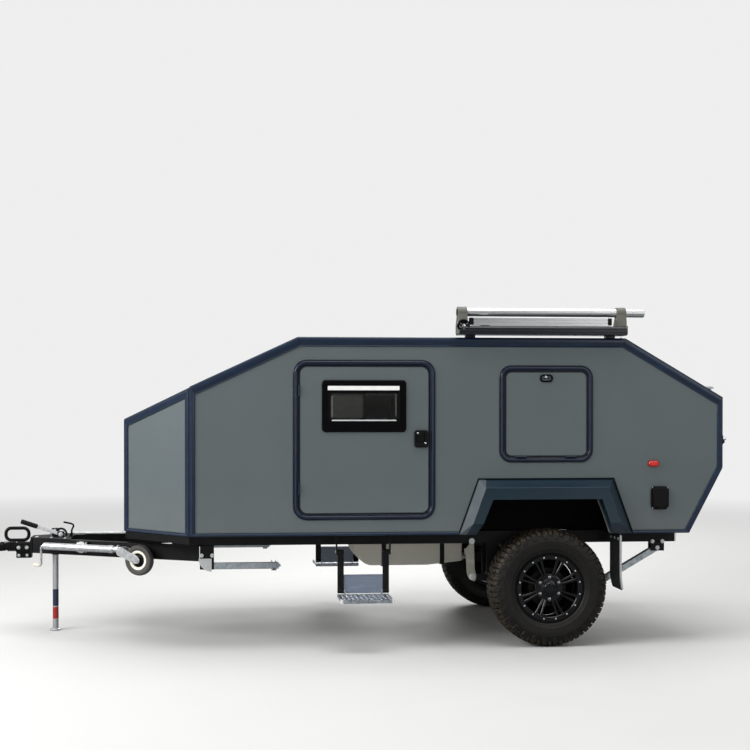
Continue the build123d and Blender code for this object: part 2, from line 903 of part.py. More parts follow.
def along_arm(distance, height, depth=0):
    """The plane square to the left arm at a distance along it; it looks backwards."""
    start = jockey_line.from_local_coords(Vector(distance, height, depth))
    return Plane(origin=start, x_dir=jockey_line.z_dir, z_dir=jockey_line.x_dir)


with BuildPart() as jockey_tube:
    with BuildSketch(along_arm(jockey_front_s, jockey_z)):
        Circle(jockey_tube_radius)
    extrude(amount=jockey_rear_s - jockey_front_s)
    with BuildSketch(along_arm(jockey_front_s + crank_radius, jockey_z)):
        Circle(jockey_stem_radius + jockey_stem_gap)
    extrude(amount=jockey_rear_s - jockey_front_s, mode=Mode.SUBTRACT)
    with BuildSketch(jockey_line.offset(-jockey_tube_radius - leaf_gap / 2)):
        with Locations((jockey_pivot_s, jockey_z)):
            Circle(clamp_height / 2)
    extrude(amount=jockey_tube_radius)
    with BuildSketch(along_arm(jockey_front_s + crank_radius, jockey_z)):
        Circle(jockey_stem_radius + jockey_stem_gap)
    extrude(amount=jockey_rear_s - jockey_front_s, mode=Mode.SUBTRACT)
    with BuildSketch(jockey_line.offset(-clamp_pin_reach + clamp_pin_gap)):
        with Locations((jockey_pivot_s, jockey_z)):
            Circle(clamp_pin_radius + clamp_pin_gap)
    extrude(amount=-jockey_tube_radius, mode=Mode.SUBTRACT)
    with BuildSketch(along_arm(jockey_front_s - 3 * crank_radius, jockey_z)):
        Circle(crank_radius)
    extrude(amount=3 * crank_radius)
    crank_middle = (jockey_front_s - 3 * crank_radius, (jockey_z + crank_low_z) / 2)
    with BuildSketch(jockey_line.offset(-crank_radius)):
        with Locations(crank_middle):
            SlotOverall(jockey_z - crank_low_z + 2 * crank_radius, 2 * crank_radius, rotation=90)
    extrude(amount=2 * crank_radius)
write(jockey_tube.part, "jockey_tube")
fork_half = jockey_wheel_width / 2 + jockey_fork_gap
with BuildPart() as jockey_fork:
    with BuildSketch(along_arm(jockey_front_s + 4 * crank_radius, jockey_z)):
        Circle(jockey_stem_radius)
    extrude(amount=jockey_fork_s - jockey_front_s - 4 * crank_radius)
    with BuildSketch(jockey_line.offset(-fork_half - jockey_fork_sheet)):
        face_of([
            (jockey_fork_s, jockey_z - 2 * jockey_stem_radius),
            (jockey_fork_s, jockey_z + jockey_stem_radius),
            (jockey_wheel_s + jockey_stem_radius, jockey_z - jockey_drop + jockey_stem_radius),
            (jockey_wheel_s + jockey_stem_radius, jockey_z - jockey_drop - jockey_stem_radius),
            (jockey_wheel_s - jockey_stem_radius, jockey_z - jockey_drop - jockey_stem_radius),
        ])
    extrude(amount=2 * (fork_half + jockey_fork_sheet))
    with BuildSketch(jockey_line.offset(-fork_half)):
        with Locations((jockey_wheel_s, jockey_z - jockey_drop)):
            Circle(jockey_wheel_radius + jockey_fork_gap)
    extrude(amount=2 * fork_half, mode=Mode.SUBTRACT)
    with BuildSketch(jockey_line.offset(-fork_half - jockey_fork_sheet)):
        with Locations((jockey_wheel_s, jockey_z - jockey_drop)):
            Circle(jockey_axle_radius)
    extrude(amount=2 * (fork_half + jockey_fork_sheet))
write(jockey_fork.part, "jockey_fork")
with BuildPart() as jockey_wheel:
    with BuildSketch(jockey_line.offset(-jockey_wheel_width / 2)):
        with Locations((jockey_wheel_s, jockey_z - jockey_drop)):
            Circle(jockey_wheel_radius)
            Circle(jockey_axle_radius + jockey_axle_gap, mode=Mode.SUBTRACT)
    extrude(amount=jockey_wheel_width)
    fillet(jockey_wheel.edges().filter_by(GeomType.CIRCLE).sort_by(SortBy.RADIUS)[-2:], jockey_wheel_width / 4)
write(jockey_wheel.part, "jockey_wheel")

# Steadies: a bracket under each rail end and a swinging channel leg with a foot
steady_y = rail_out_y - rail_width / 2
steadies = (
    ("front", steady_front_x, steady_front_z, 0, 1),
    ("rear", steady_rear_x, steady_rear_z, steady_rear_angle, -1),
)
cheek_half = steady_tube / 2 + steady_cheek_gap
with BuildPart() as steady_brackets:
    for _, place_x, place_z, _, _ in steadies:
        block(
            (place_x - steady_bracket_length / 2, -steady_y - cheek_half - steady_cheek, place_z - steady_tube / 2),
            (place_x + steady_bracket_length / 2, -steady_y + cheek_half + steady_cheek, rail_low_z),
        )
        block(
            (place_x - steady_bracket_length / 2, -steady_y - cheek_half, place_z - steady_tube / 2),
            (
                place_x + steady_bracket_length / 2,
                -steady_y + cheek_half,
                place_z + steady_tube / 2 + steady_cheek_gap,
            ),
            mode=Mode.SUBTRACT,
        )
        with Locations(Location((place_x, -steady_y, place_z), (90, 0, 0))):
            Cylinder(steady_pin_radius, 2 * cheek_half + 2 * steady_cheek)
write_both(steady_brackets.part, "steady_brackets")
for name, place_x, place_z, slope, way in steadies:
    run = Vector(way * cos(slope * pi / 180), 0, -sin(slope * pi / 180))
    leg_plane = Plane(origin=(place_x, -steady_y, place_z), x_dir=run, z_dir=(0, -way, 0))
    with BuildPart() as steady_leg:
        with BuildSketch(leg_plane.offset(-steady_tube / 2)):
            with Locations(((steady_length - steady_tube / 2) / 2, 0)):
                SlotOverall(steady_length + steady_tube / 2, steady_tube)
        extrude(amount=steady_tube)
        with BuildSketch(leg_plane.offset(-steady_tube / 2 + steady_sheet)):
            with Locations((steady_length / 2, way * steady_sheet)):
                Rectangle(steady_length - 2 * steady_tube, steady_tube)
        extrude(amount=steady_tube - 2 * steady_sheet, mode=Mode.SUBTRACT)
        with BuildSketch(leg_plane.offset(-steady_tube)):
            with Locations((steady_length - steady_foot_length / 2, 0)):
                Rectangle(steady_foot_length / 3, steady_foot_height)
        extrude(amount=2 * steady_tube)
        with BuildSketch(leg_plane.offset(-steady_tube / 2)):
            Circle(steady_pin_radius + steady_pin_gap)
        extrude(amount=steady_tube, mode=Mode.SUBTRACT)
    write_pair(steady_leg.part, f"steady_leg_{name}")

# Entry steps: two arms that swing in under the floor, and a tread that stays level
step_low_z = step_pivot_z - step_arm_length
arm_places = (step_front_x + step_arm_width / 2, step_rear_x - step_arm_width / 2)
ear_reach = step_arm_thickness / 2 + step_ear_gap
with BuildPart() as step_brackets:
    for place, outward in zip(arm_places, (-1, 1)):
        ear_x = place + outward * (step_arm_width / 2 + step_ear_gap)
        block(
            (ear_x, -step_pivot_y - step_arm_width / 2, step_pivot_z - step_arm_width / 2),
            (ear_x + outward * step_ear_thickness, -step_pivot_y + step_arm_width / 2, floor_z),
        )
        with Locations(Location((ear_x - outward * step_arm_width / 2, -step_pivot_y, step_pivot_z), (0, 90, 0))):
            Cylinder(step_pin_radius, step_arm_width + 2 * step_ear_gap)
write_both(step_brackets.part, "step_brackets")
with BuildPart() as step_arms:
    for place in arm_places:
        block(
            (place - step_arm_width / 2, -step_pivot_y - step_arm_thickness, step_low_z),
            (place + step_arm_width / 2, -step_pivot_y + step_arm_thickness, step_pivot_z),
        )
        for height in (step_low_z, step_pivot_z):
            with Locations(Location((place, -step_pivot_y, height), (0, 90, 0))):
                Cylinder(step_arm_thickness + step_pin_radius, step_arm_width)
    block(
        (arm_places[0], -step_pivot_y - step_plate_thickness / 2, step_low_z + step_plate_rise),
        (
            arm_places[1],
            -step_pivot_y + step_plate_thickness / 2,
            step_low_z + step_plate_rise + step_plate_height,
        ),
    )
    for place in arm_places:
        for height in (step_low_z, step_pivot_z):
            with Locations(Location((place, -step_pivot_y, height), (0, 90, 0))):
                Cylinder(step_pin_radius + step_pin_gap, step_arm_width, mode=Mode.SUBTRACT)
write_pair(step_arms.part, "step_arms")
tread_top_z = step_low_z - step_tread_top
inside_front_x = step_front_x + step_arm_width + step_ear_gap
inside_rear_x = step_rear_x - step_arm_width - step_ear_gap
with BuildPart() as step_tread:
    block(
        (step_front_x, -step_pivot_y - step_tread_reach, tread_top_z - step_tread_thickness),
        (step_rear_x, -step_pivot_y + step_arm_width / 2, tread_top_z),
    )
    for ear_x, outward in ((inside_front_x, 1), (inside_rear_x, -1)):
        block(
            (ear_x, -step_pivot_y - 2 * step_pin_radius, tread_top_z),
            (
                ear_x + outward * step_ear_thickness,
                -step_pivot_y + 2 * step_pin_radius,
                step_low_z + step_pin_radius + step_ear_over,
            ),
        )
        with Locations(Location((ear_x - outward * step_arm_width / 2, -step_pivot_y, step_low_z), (0, 90, 0))):
            Cylinder(step_pin_radius, step_arm_width + 2 * step_ear_gap)
write_pair(step_tread.part, "step_tread")

# Trailing arms with their hangers, spindles and coil springs
with BuildPart() as hanger:
    for side_y in (-rail_out_y, -rail_out_y + 2 * swing_arm_width + 2 * hanger_thickness):
        block(
            (pivot_x - hanger_length / 2, side_y, pivot_z - bush_radius),
            (pivot_x + hanger_length / 2, side_y + hanger_thickness, rail_low_z),
        )
write_both(hanger.part, "suspension_hangers")
swing_inner_y = -rail_out_y + 2 * swing_arm_width + 2 * hanger_thickness
swing_fall = (pivot_z - wheel_z) / (wheel_x + swing_arm_height / 2 - pivot_x)
coil_y = -swing_arm_y + swing_arm_width / 2
coil_seat_z = pivot_z + swing_arm_height / 2 - swing_fall * (coil_x - coil_radius - coil_seat_rim - pivot_x)
with BuildPart() as swing_arm:
    with BuildSketch(Plane.XZ.offset(rail_out_y - hanger_thickness)):
        with Locations((pivot_x, pivot_z)):
            Circle(bush_radius)
    extrude(amount=-(swing_inner_y + rail_out_y - hanger_thickness))
    with BuildSketch(Plane.XZ.offset(swing_arm_y)):
        face_of([
            (pivot_x, pivot_z - swing_arm_height / 2),
            (pivot_x, pivot_z + swing_arm_height / 2),
            (wheel_x + swing_arm_height / 2, wheel_z + swing_arm_height / 2),
            (wheel_x + swing_arm_height / 2, wheel_z - swing_arm_height / 2),
        ])
    extrude(amount=-swing_arm_width)
    with BuildSketch(Plane.XZ.offset(swing_arm_y - swing_arm_width / 2)):
        with Locations((wheel_x, wheel_z)):
            Circle(spindle_radius)
    extrude(amount=tyre_out_y - disc_depth - hub_reach - swing_arm_y + swing_arm_width / 2)
    with BuildSketch(Plane.XY.offset(coil_seat_z)):
        with Locations((coil_x, coil_y)):
            Circle(coil_radius + coil_seat_rim)
    extrude(amount=-2 * swing_fall * (coil_radius + coil_seat_rim))
write_both(swing_arm.part, "trailing_arms")
with BuildPart() as coil:
    with BuildSketch(Plane.XY.offset(coil_seat_z)):
        with Locations((coil_x, coil_y)):
            Circle(coil_radius)
            Circle(coil_radius - coil_wall, mode=Mode.SUBTRACT)
    extrude(amount=rail_low_z - coil_seat_z)
write_both(coil.part, "coil_springs")

# Rims: a channel, a disc with a ring of windows, and the hub that turns on the spindle
with BuildPart() as rim:
    with BuildSketch(Plane.YZ.offset(wheel_x)):
        rim_out = -tyre_mid_y - rim_width / 2
        rim_in = -tyre_mid_y + rim_width / 2
        face_of([
            (rim_out, wheel_z + rim_lip_radius),
            (rim_out + rim_lip, wheel_z + rim_lip_radius),
            (rim_out + rim_lip, wheel_z + bead_radius),
            (rim_in - rim_lip, wheel_z + bead_radius),
            (rim_in - rim_lip, wheel_z + rim_lip_radius),
            (rim_in, wheel_z + rim_lip_radius),
            (rim_in, wheel_z + bead_radius - rim_wall),
            (rim_out, wheel_z + bead_radius - rim_wall),
        ])
    revolve(axis=Axis((wheel_x, 0, wheel_z), (0, 1, 0)))
    disc_out = tyre_out_y - disc_depth
    with BuildSketch(Plane.XZ.offset(disc_out)):
        with Locations((wheel_x, wheel_z)):
            Circle(bead_radius - rim_wall / 2)
        window_middle = (spoke_window_inner + spoke_window_outer) / 2
        with Locations((wheel_x, wheel_z)):
            with PolarLocations(window_middle, spoke_count):
                RectangleRounded(
                    spoke_window_outer - spoke_window_inner,
                    2 * window_middle * sin(spoke_window_angle * pi / 360),
                    handle_radius / 2,
                    mode=Mode.SUBTRACT,
                )
    extrude(amount=-disc_thickness)
    with BuildSketch(Plane.XZ.offset(disc_out + hub_reach)):
        with Locations((wheel_x, wheel_z)):
            Circle(hub_radius)
    extrude(amount=-(disc_out + hub_reach - hub_inner_y))
    with BuildSketch(Plane.XZ.offset(hub_inner_y)):
        with Locations((wheel_x, wheel_z)):
            Circle(hub_flange_radius)
    extrude(amount=hub_flange_thickness)
    with BuildSketch(Plane.XZ.offset(disc_out - spindle_gap)):
        with Locations((wheel_x, wheel_z)):
            Circle(spindle_radius + spindle_gap)
    extrude(amount=-disc_out, mode=Mode.SUBTRACT)
write_pair(rim.part, "rim")

# Tyres: bead, bulged sidewall, shoulder and tread, as one ring
with BuildPart() as tyre:
    with BuildSketch(Plane.YZ.offset(wheel_x)):
        bead_half = rim_width / 2 - rim_lip
        side_radius = (rim_lip_radius + tyre_radius) / 2 - rim_lip
        shoulder_radius = tyre_radius - rim_lip_radius / 12
        with BuildLine():
            Polyline(
                (-tyre_mid_y - rim_width / 2, wheel_z + rim_lip_radius + bead_gap),
                (-tyre_mid_y - bead_half, wheel_z + rim_lip_radius + bead_gap),
                (-tyre_mid_y - bead_half, wheel_z + bead_radius),
                (-tyre_mid_y + bead_half, wheel_z + bead_radius),
                (-tyre_mid_y + bead_half, wheel_z + rim_lip_radius + bead_gap),
                (-tyre_mid_y + rim_width / 2, wheel_z + rim_lip_radius + bead_gap),
            )
            ThreePointArc(
                (-tyre_mid_y + rim_width / 2, wheel_z + rim_lip_radius + bead_gap),
                (-tyre_mid_y + tyre_width / 2, wheel_z + side_radius),
                (-tyre_mid_y + tread_width / 2 + rim_lip, wheel_z + shoulder_radius),
            )
            Polyline(
                (-tyre_mid_y + tread_width / 2 + rim_lip, wheel_z + shoulder_radius),
                (-tyre_mid_y + tread_width / 2, wheel_z + tyre_radius),
                (-tyre_mid_y - tread_width / 2, wheel_z + tyre_radius),
                (-tyre_mid_y - tread_width / 2 - rim_lip, wheel_z + shoulder_radius),
            )
            ThreePointArc(
                (-tyre_mid_y - tread_width / 2 - rim_lip, wheel_z + shoulder_radius),
                (-tyre_mid_y - tyre_width / 2, wheel_z + side_radius),
                (-tyre_mid_y - rim_width / 2, wheel_z + rim_lip_radius + bead_gap),
            )
        make_face()
    revolve(axis=Axis((wheel_x, 0, wheel_z), (0, 1, 0)))
write_pair(tyre.part, "tyre")

# Water tank slung between the rails, with a rounded front and a gently rising rear
with BuildPart() as tank:
    with BuildSketch(Plane.XZ):
        face_of([
            (tank_front_x, tank_low_z),
            (tank_front_x, rail_low_z),
            (tank_rear_x, rail_low_z),
            (tank_rear_x, tank_low_z + tank_rear_rise),
            ((tank_front_x + 2 * tank_rear_x) / 3, tank_low_z),
        ])
    extrude(amount=tank_half_width, both=True)
    fillet(tank.edges().filter_by(Axis.Y).group_by(Axis.X)[0].sort_by(Axis.Z)[0], tank_front_radius)
write(tank.part, "water_tank")

# Mud flaps behind the wheels
with BuildPart() as flap:
    block(
        (flap_x - flap_thickness / 2, -flap_outer_y, flap_low_z),
        (flap_x + flap_thickness / 2, -flap_inner_y, floor_z),
    )
write_both(flap.part, "mud_flaps")

# Lamps: one marker on each side and one lamp at each end of the tail chamfer
with BuildPart() as marker:
    with BuildSketch(left_side()):
        with Locations((marker_x, marker_z)):
            SlotOverall(marker_length, marker_height)
    extrude(amount=marker_depth)
chamfer_middle = (
    tail_floor_x + tail_lamp_along * (tail_x - tail_floor_x),
    0,
    floor_z + tail_lamp_along * (tail_low_z - floor_z),
)
chamfer_way = Vector(tail_x - tail_floor_x, 0, tail_low_z - floor_z).normalized()
chamfer_plane = Plane(origin=chamfer_middle, x_dir=(0, 1, 0), z_dir=(chamfer_way.Z, 0, -chamfer_way.X))
with BuildPart() as lamps:
    add(marker.part)
    add(mirror(marker.part, about=Plane.XZ))
    with BuildSketch(chamfer_plane):
        with Locations((-tail_lamp_y, 0), (tail_lamp_y, 0)):
            RectangleRounded(tail_lamp_width, tail_lamp_height, tail_lamp_depth)
    extrude(amount=tail_lamp_depth)
write(lamps.part, "lamps")

# Power inlet on the left-hand wall
with BuildPart() as inlet:
    with BuildSketch(left_side()):
        with Locations((inlet_x, inlet_z)):
            RectangleRounded(inlet_width, inlet_height, inlet_depth)
    extrude(amount=inlet_depth)
write(inlet.part, "power_inlet")

# Awning: a base on two feet, the roller and its flat arm, and an end casting with a round boss
roof_cap_z = roof_z + moulding_cap
with BuildPart() as awning_base:
    block(
        (awning_front_x, -awning_outer_y, awning_low_z),
        (awning_rear_x, -awning_inner_y, awning_low_z + awning_base_height),
    )
    for foot_x in (awning_front_x + awning_foot_length, awning_rear_x - 2 * awning_foot_length):
        block(
            (foot_x, -half, roof_cap_z),
            (foot_x + awning_foot_length, -awning_inner_y, awning_low_z),
        )
    for end_x in (awning_front_x, awning_rear_x - awning_end_length):
        block(
            (end_x, -awning_bar_y, awning_low_z + awning_base_height),
            (end_x + awning_end_length, -awning_inner_y, awning_tube_z),
        )
        with BuildSketch(Plane.YZ.offset(end_x)):
            with Locations((-awning_tube_y, awning_tube_z)):
                Circle(awning_tube_radius + moulding_proud)
        extrude(amount=awning_end_length)
    with BuildSketch(Plane.XZ.offset(awning_bar_y)):
        with Locations((awning_front_x + awning_end_length / 2, awning_low_z + awning_base_height)):
            Circle(awning_boss_radius)
    extrude(amount=awning_outer_y - awning_bar_y)
    with BuildSketch(Plane.YZ.offset(awning_front_x)):
        with Locations((-awning_tube_y, awning_tube_z)):
            Circle(awning_tube_radius)
    extrude(amount=awning_tube_rear_x - awning_front_x, mode=Mode.SUBTRACT)
write(awning_base.part, "awning_base")
with BuildPart() as awning_bars:
    with BuildSketch(Plane.YZ.offset(awning_front_x)):
        with Locations((-awning_tube_y, awning_tube_z)):
            Circle(awning_tube_radius)
    extrude(amount=awning_tube_rear_x - awning_front_x)
    block(
        (awning_bar_front_x, -awning_bar_y - awning_bar_thickness, awning_bar_low_z),
        (awning_bar_rear_x, -awning_bar_y, awning_bar_high_z),
    )
    block(
        (awning_bar_front_x + awning_foot_length, -awning_bar_y, awning_low_z + awning_base_height),
        (awning_bar_front_x + 2 * awning_foot_length, -awning_bar_y + awning_bar_thickness, awning_bar_high_z),
    )
write(awning_bars.part, "awning_bars")
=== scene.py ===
from math import atan2, cos, hypot, pi, radians, sin

import bmesh
import bpy
import numpy as np
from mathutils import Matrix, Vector


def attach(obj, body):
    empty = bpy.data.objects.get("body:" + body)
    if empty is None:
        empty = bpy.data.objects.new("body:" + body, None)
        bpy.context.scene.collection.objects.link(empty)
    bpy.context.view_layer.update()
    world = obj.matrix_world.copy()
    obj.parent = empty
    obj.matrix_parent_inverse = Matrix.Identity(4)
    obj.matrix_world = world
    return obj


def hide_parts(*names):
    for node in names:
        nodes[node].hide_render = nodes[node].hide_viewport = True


# Start. The trailer as it was built in CAD: one fixed frame of named pieces, in metres, with X
# back, Y to the right and Z up. Everything made here stands in that frame.
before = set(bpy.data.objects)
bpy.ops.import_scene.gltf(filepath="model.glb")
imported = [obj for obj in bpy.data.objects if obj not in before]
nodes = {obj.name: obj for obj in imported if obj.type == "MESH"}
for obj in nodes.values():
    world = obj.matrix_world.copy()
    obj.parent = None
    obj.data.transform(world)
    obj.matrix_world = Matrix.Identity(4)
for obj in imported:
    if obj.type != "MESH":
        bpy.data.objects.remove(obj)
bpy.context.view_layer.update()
scene = bpy.context.scene

# Viewpoint. The photographer stands beside the left-hand wall, a little ahead of the wheel, and
# holds the camera level at eye height, turned slightly towards the tail.
camera_place = (-0.929, -9.374, 1.522)
camera_yaw = radians(5.337)
camera_pitch = radians(-0.497)
camera_lens = 64.64
camera_shift = (0.055, 0.06)
camera = bpy.data.objects.new("camera", bpy.data.cameras.new("camera"))
scene.collection.objects.link(camera)
camera.location = camera_place
camera.rotation_euler = (pi / 2 + camera_pitch, 0, -camera_yaw)
camera.data.lens = camera_lens
camera.data.shift_x, camera.data.shift_y = camera_shift
scene.camera = camera
scene.view_settings.view_transform = "Standard"

# Floor and studio. A pale floor that keeps the trailer's shadow and fades into a pale surround.
# The sky is brighter overhead than at the horizon, and so is what metal and gloss reflect.
floor_colour = (0.62, 0.62, 0.61)
floor_mirrored = (0.22, 0.23, 0.23)
floor_half = 60
floor_near = 4
floor_far = 15
surround = 0.86
sky_low = 0.1
sky_high = 0.62
mirror_low = 0.11
mirror_high = 0.95
lamps_table = (
    # name, place, aimed at, size, watts
    ("key", (-7.5, -4.6, 5.4), (0, 0, 0.9), 4, 460),
    ("overhead", (0.6, -1, 7.5), (0.6, 0, 0), 6, 430),
    ("front", (-7.8, -2.1, 3.4), (0.75, -1, 0.9), 2, 230),
    ("low", (-2.5, -8, 0.9), (0.4, 0, 0.5), 2.5, 40),
    ("fill", (5.5, -8, 3), (1, 0, 0.8), 4, 90),
    ("back", (2, 8, 5), (0.5, 0, 1), 5, 300),
)


class Value:
    """One shader socket. Each Python operator adds the Math node that works it out."""

    def __init__(self, look, socket):
        self.look = look
        self.socket = socket

    def maths(self, operation, *others, clamp=False):
        settings = {"operation": operation, "use_clamp": clamp}
        return self.look.node("ShaderNodeMath", settings, dict(enumerate((self, *others))))

    def __add__(self, other):
        return self.maths("ADD", other)

    def __mul__(self, other):
        return self.maths("MULTIPLY", other)

    def __sub__(self, other):
        return self.maths("SUBTRACT", other)

    def __rsub__(self, other):
        return (self * -1) + other

    def __pow__(self, other):
        return self.maths("POWER", other)

    __radd__ = __add__
    __rmul__ = __mul__

    def rise(self, low, high):
        """0 below low, 1 above high, and straight between them."""
        return self.maths("SUBTRACT", low).maths("DIVIDE", high - low, clamp=True)


class Look:
    """One material: a Principled shader whose sockets are numbers, colours or Values."""

    def __init__(self, name, colour, roughness, metallic=0, **sockets):
        self.material = bpy.data.materials.new(name)
        self.material.use_nodes = True
        self.tree = self.material.node_tree
        self.shader = self.tree.nodes["Principled BSDF"]
        self.place = self.node("ShaderNodeTexCoord", output="Object")
        self.set("Base Color", colour)
        self.set("Roughness", roughness)
        self.set("Metallic", metallic)
        for socket, value in sockets.items():
            self.set(socket.replace("_", " "), value)

    def feed(self, socket, value):
        if isinstance(value, Value):
            self.tree.links.new(value.socket, socket)
        elif socket.type == "RGBA" and len(value) == 3:
            socket.default_value = (*value, 1)
        else:
            socket.default_value = value

    def set(self, socket, value):
        self.feed(self.shader.inputs[socket], value)

    def node(self, kind, settings=None, sockets=None, output=0):
        """Adds any other node: its settings first, then the values or links of its sockets."""
        made = self.tree.nodes.new(kind)
        for name, value in (settings or {}).items():
            setattr(made, name, value)
        for name, value in (sockets or {}).items():
            self.feed(made.inputs[name], value)
        return Value(self, made.outputs[output])

    def noise(self, scale, detail=3, stretch=(1, 1, 1)):
        """Cloudy noise from 0 to 1 with about scale lumps to the metre, stretched along each axis."""
        where = self.node("ShaderNodeMapping", {}, {"Vector": self.place, "Scale": stretch})
        sockets = {"Vector": where, "Scale": scale, "Detail": detail}
        return self.node("ShaderNodeTexNoise", {}, sockets)

    def mix(self, share, first, second):
        """Colour from first, where share is 0, to second, where it is 1."""
        sockets = {0: share, 6: first, 7: second}
        return self.node("ShaderNodeMix", {"data_type": "RGBA"}, sockets, output=2)

    def axis(self, name):
        """One coordinate of the surface, in metres in the trailer's frame."""
        return self.node("ShaderNodeSeparateXYZ", {}, {0: self.place}, output=name)

    def finish(self, share=None, first=None, second=None, roughness=None, height=None, proud=0):
        """Colours the surface from first to second by share, sets its roughness and lets a height
        from 0 to 1 stand proud by that many metres. What isn't given stays even."""
        if share is not None:
            self.set("Base Color", self.mix(share, first, second))
        if roughness is not None:
            self.set("Roughness", roughness)
        if height is not None:
            sockets = {"Height": height, "Distance": proud, "Strength": 1}
            self.set("Normal", self.node("ShaderNodeBump", {}, sockets))
        return self.material


class Studio(Look):
    """The shader nodes of the floor or the sky, worked out as a material's are."""

    def __init__(self, tree):
        self.tree = tree

    def ray(self, kind):
        return self.node("ShaderNodeLightPath", output=f"Is {kind} Ray")

    def shown(self):
        """1 where the camera sees the surface itself, or sees it through glass."""
        return self.ray("Camera").maths("MAXIMUM", self.ray("Transmission"))

    def link(self, first, second):
        self.tree.links.new(first, second)


floor_mesh = bpy.data.meshes.new("floor")
floor_corners = [(x * floor_half, y * floor_half, 0) for x, y in ((-1, -1), (1, -1), (1, 1), (-1, 1))]
floor_mesh.from_pydata(floor_corners, [], [(0, 1, 2, 3)])
floor = bpy.data.objects.new("floor", floor_mesh)
scene.collection.objects.link(floor)
floor_look = Look("studio floor", floor_colour, 0.6)
floor_look.set("Roughness", floor_look.noise(3) * 0.2 + 0.5)
floor_x = floor_look.axis("X")
floor_y = floor_look.axis("Y")
floor_fade = ((floor_x * floor_x + floor_y * floor_y) ** 0.5).rise(floor_near, floor_far)
floor_studio = Studio(floor_look.tree)
floor_look.set("Base Color", floor_look.mix(floor_studio.ray("Glossy"), floor_colour, floor_mirrored))
plain_floor = floor_look.tree.nodes.new("ShaderNodeEmission")
plain_floor.inputs["Color"].default_value = (surround, surround, surround, 1)
floor_mix = floor_look.tree.nodes.new("ShaderNodeMixShader")
floor_look.feed(floor_mix.inputs[0], floor_fade * floor_studio.shown())
floor_studio.link(floor_look.shader.outputs[0], floor_mix.inputs[1])
floor_studio.link(plain_floor.outputs[0], floor_mix.inputs[2])
floor_studio.link(floor_mix.outputs[0], floor_look.tree.nodes["Material Output"].inputs["Surface"])
floor_mesh.materials.append(floor_look.material)
world = bpy.data.worlds.new("studio")
scene.world = world
world.use_nodes = True
sky = Studio(world.node_tree)
sky_place = sky.node("ShaderNodeTexCoord", output="Generated")
way_up = sky.node("ShaderNodeSeparateXYZ", {}, {0: sky_place}, output="Z").rise(-0.1, 0.9)
seen_sky = sky.shown()
mirrored_sky = sky.ray("Glossy") * (way_up * (mirror_high - mirror_low) + mirror_low)
sky_light = (1 - sky.ray("Glossy")) * (way_up * (sky_high - sky_low) + sky_low)
background = world.node_tree.nodes["Background"]
background.inputs["Color"].default_value = (1, 1, 1, 1)
sky.feed(background.inputs["Strength"], seen_sky * surround + (1 - seen_sky) * (mirrored_sky + sky_light))
for lamp_name, lamp_place, lamp_target, lamp_size, lamp_watts in lamps_table:
    lamp = bpy.data.objects.new(lamp_name, bpy.data.lights.new(lamp_name, "AREA"))
    lamp.data.size = lamp_size
    lamp.data.energy = lamp_watts
    lamp.location = lamp_place
    lamp_aim = Vector(lamp_target) - Vector(lamp_place)
    lamp.rotation_euler = lamp_aim.to_track_quat("-Z", "Y").to_euler()
    scene.collection.objects.link(lamp)

# Cabin. Foam-cored sandwich panels, glued and screwed edge to edge: one flat side each, and a nose
# that tapers from the first corner. The skins are painted with a fine leathery grain, slightly
# uneven in gloss and dusty low down. Shapes are drawn in millimetres, and looks are in metres.
mm = 0.001
half = 950
nose_half = 480
floor_z = 720
roof_z = 1965
nose_x = -1467
nose_top = 1454
corner_x = -1045
roof_front = -366
roof_rear = 1734
tail_x = 2374
tail_top = 1591
tail_low = 1140
tail_floor = 2152
front_rise = (roof_z - nose_top) / (roof_front - nose_x)
corner_top = nose_top + (corner_x - nose_x) * front_rise
taper_length = hypot(half - nose_half, corner_x - nose_x)
taper_way = np.array([corner_x - nose_x, -(half - nose_half), 0]) / taper_length
left_plane = ((0, -half, 0), (1, 0, 0), (0, 0, 1))
nose_plane = ((nose_x, -nose_half, 0), taper_way, (0, 0, 1))
front_plane = ((nose_x, 0, 0), (0, -1, 0), (0, 0, 1))
cabin_colour = (0.088, 0.108, 0.114)
dust_colour = (0.2, 0.19, 0.165)
dust_top = 1.05
lining_colour = (0.5, 0.47, 0.41)
lining_depth = (0.0334, 0.0344)
side_line = [(nose_x, floor_z), (nose_x, nose_top), (roof_front, roof_z), (roof_rear, roof_z)]
side_line += [(tail_x, tail_top), (tail_x, tail_low), (tail_floor, floor_z)]
taper_out = (-(half - nose_half) / taper_length, (corner_x - nose_x) / taper_length)
outer_planes = [(0, 1, 0, half), (*taper_out, 0, taper_out[0] * corner_x + taper_out[1] * half)]
for (first_x, first_z), (second_x, second_z) in zip(side_line, side_line[1:]):
    reach = hypot(second_x - first_x, second_z - first_z)
    out_x, out_z = -(second_z - first_z) / reach, (second_x - first_x) / reach
    outer_planes.append((out_x, 0, out_z, out_x * first_x + out_z * first_z))


def depth_inside(look):
    """How deep a point lies under the cabin's outer skin: the least distance to its outer planes,
    each given as (x, y, z, d) with the skin where x X + y |Y| + z Z = d."""
    across = look.axis("Y").maths("ABSOLUTE")
    depth = None
    for part_x, part_y, part_z, reach in outer_planes:
        below = reach * mm - (look.axis("X") * part_x + across * part_y + look.axis("Z") * part_z)
        depth = below if depth is None else depth.maths("MINIMUM", below)
    return depth


def shaded(colour, share):
    """A colour made lighter or darker by a share."""
    return tuple(min(1, part * share) for part in colour)


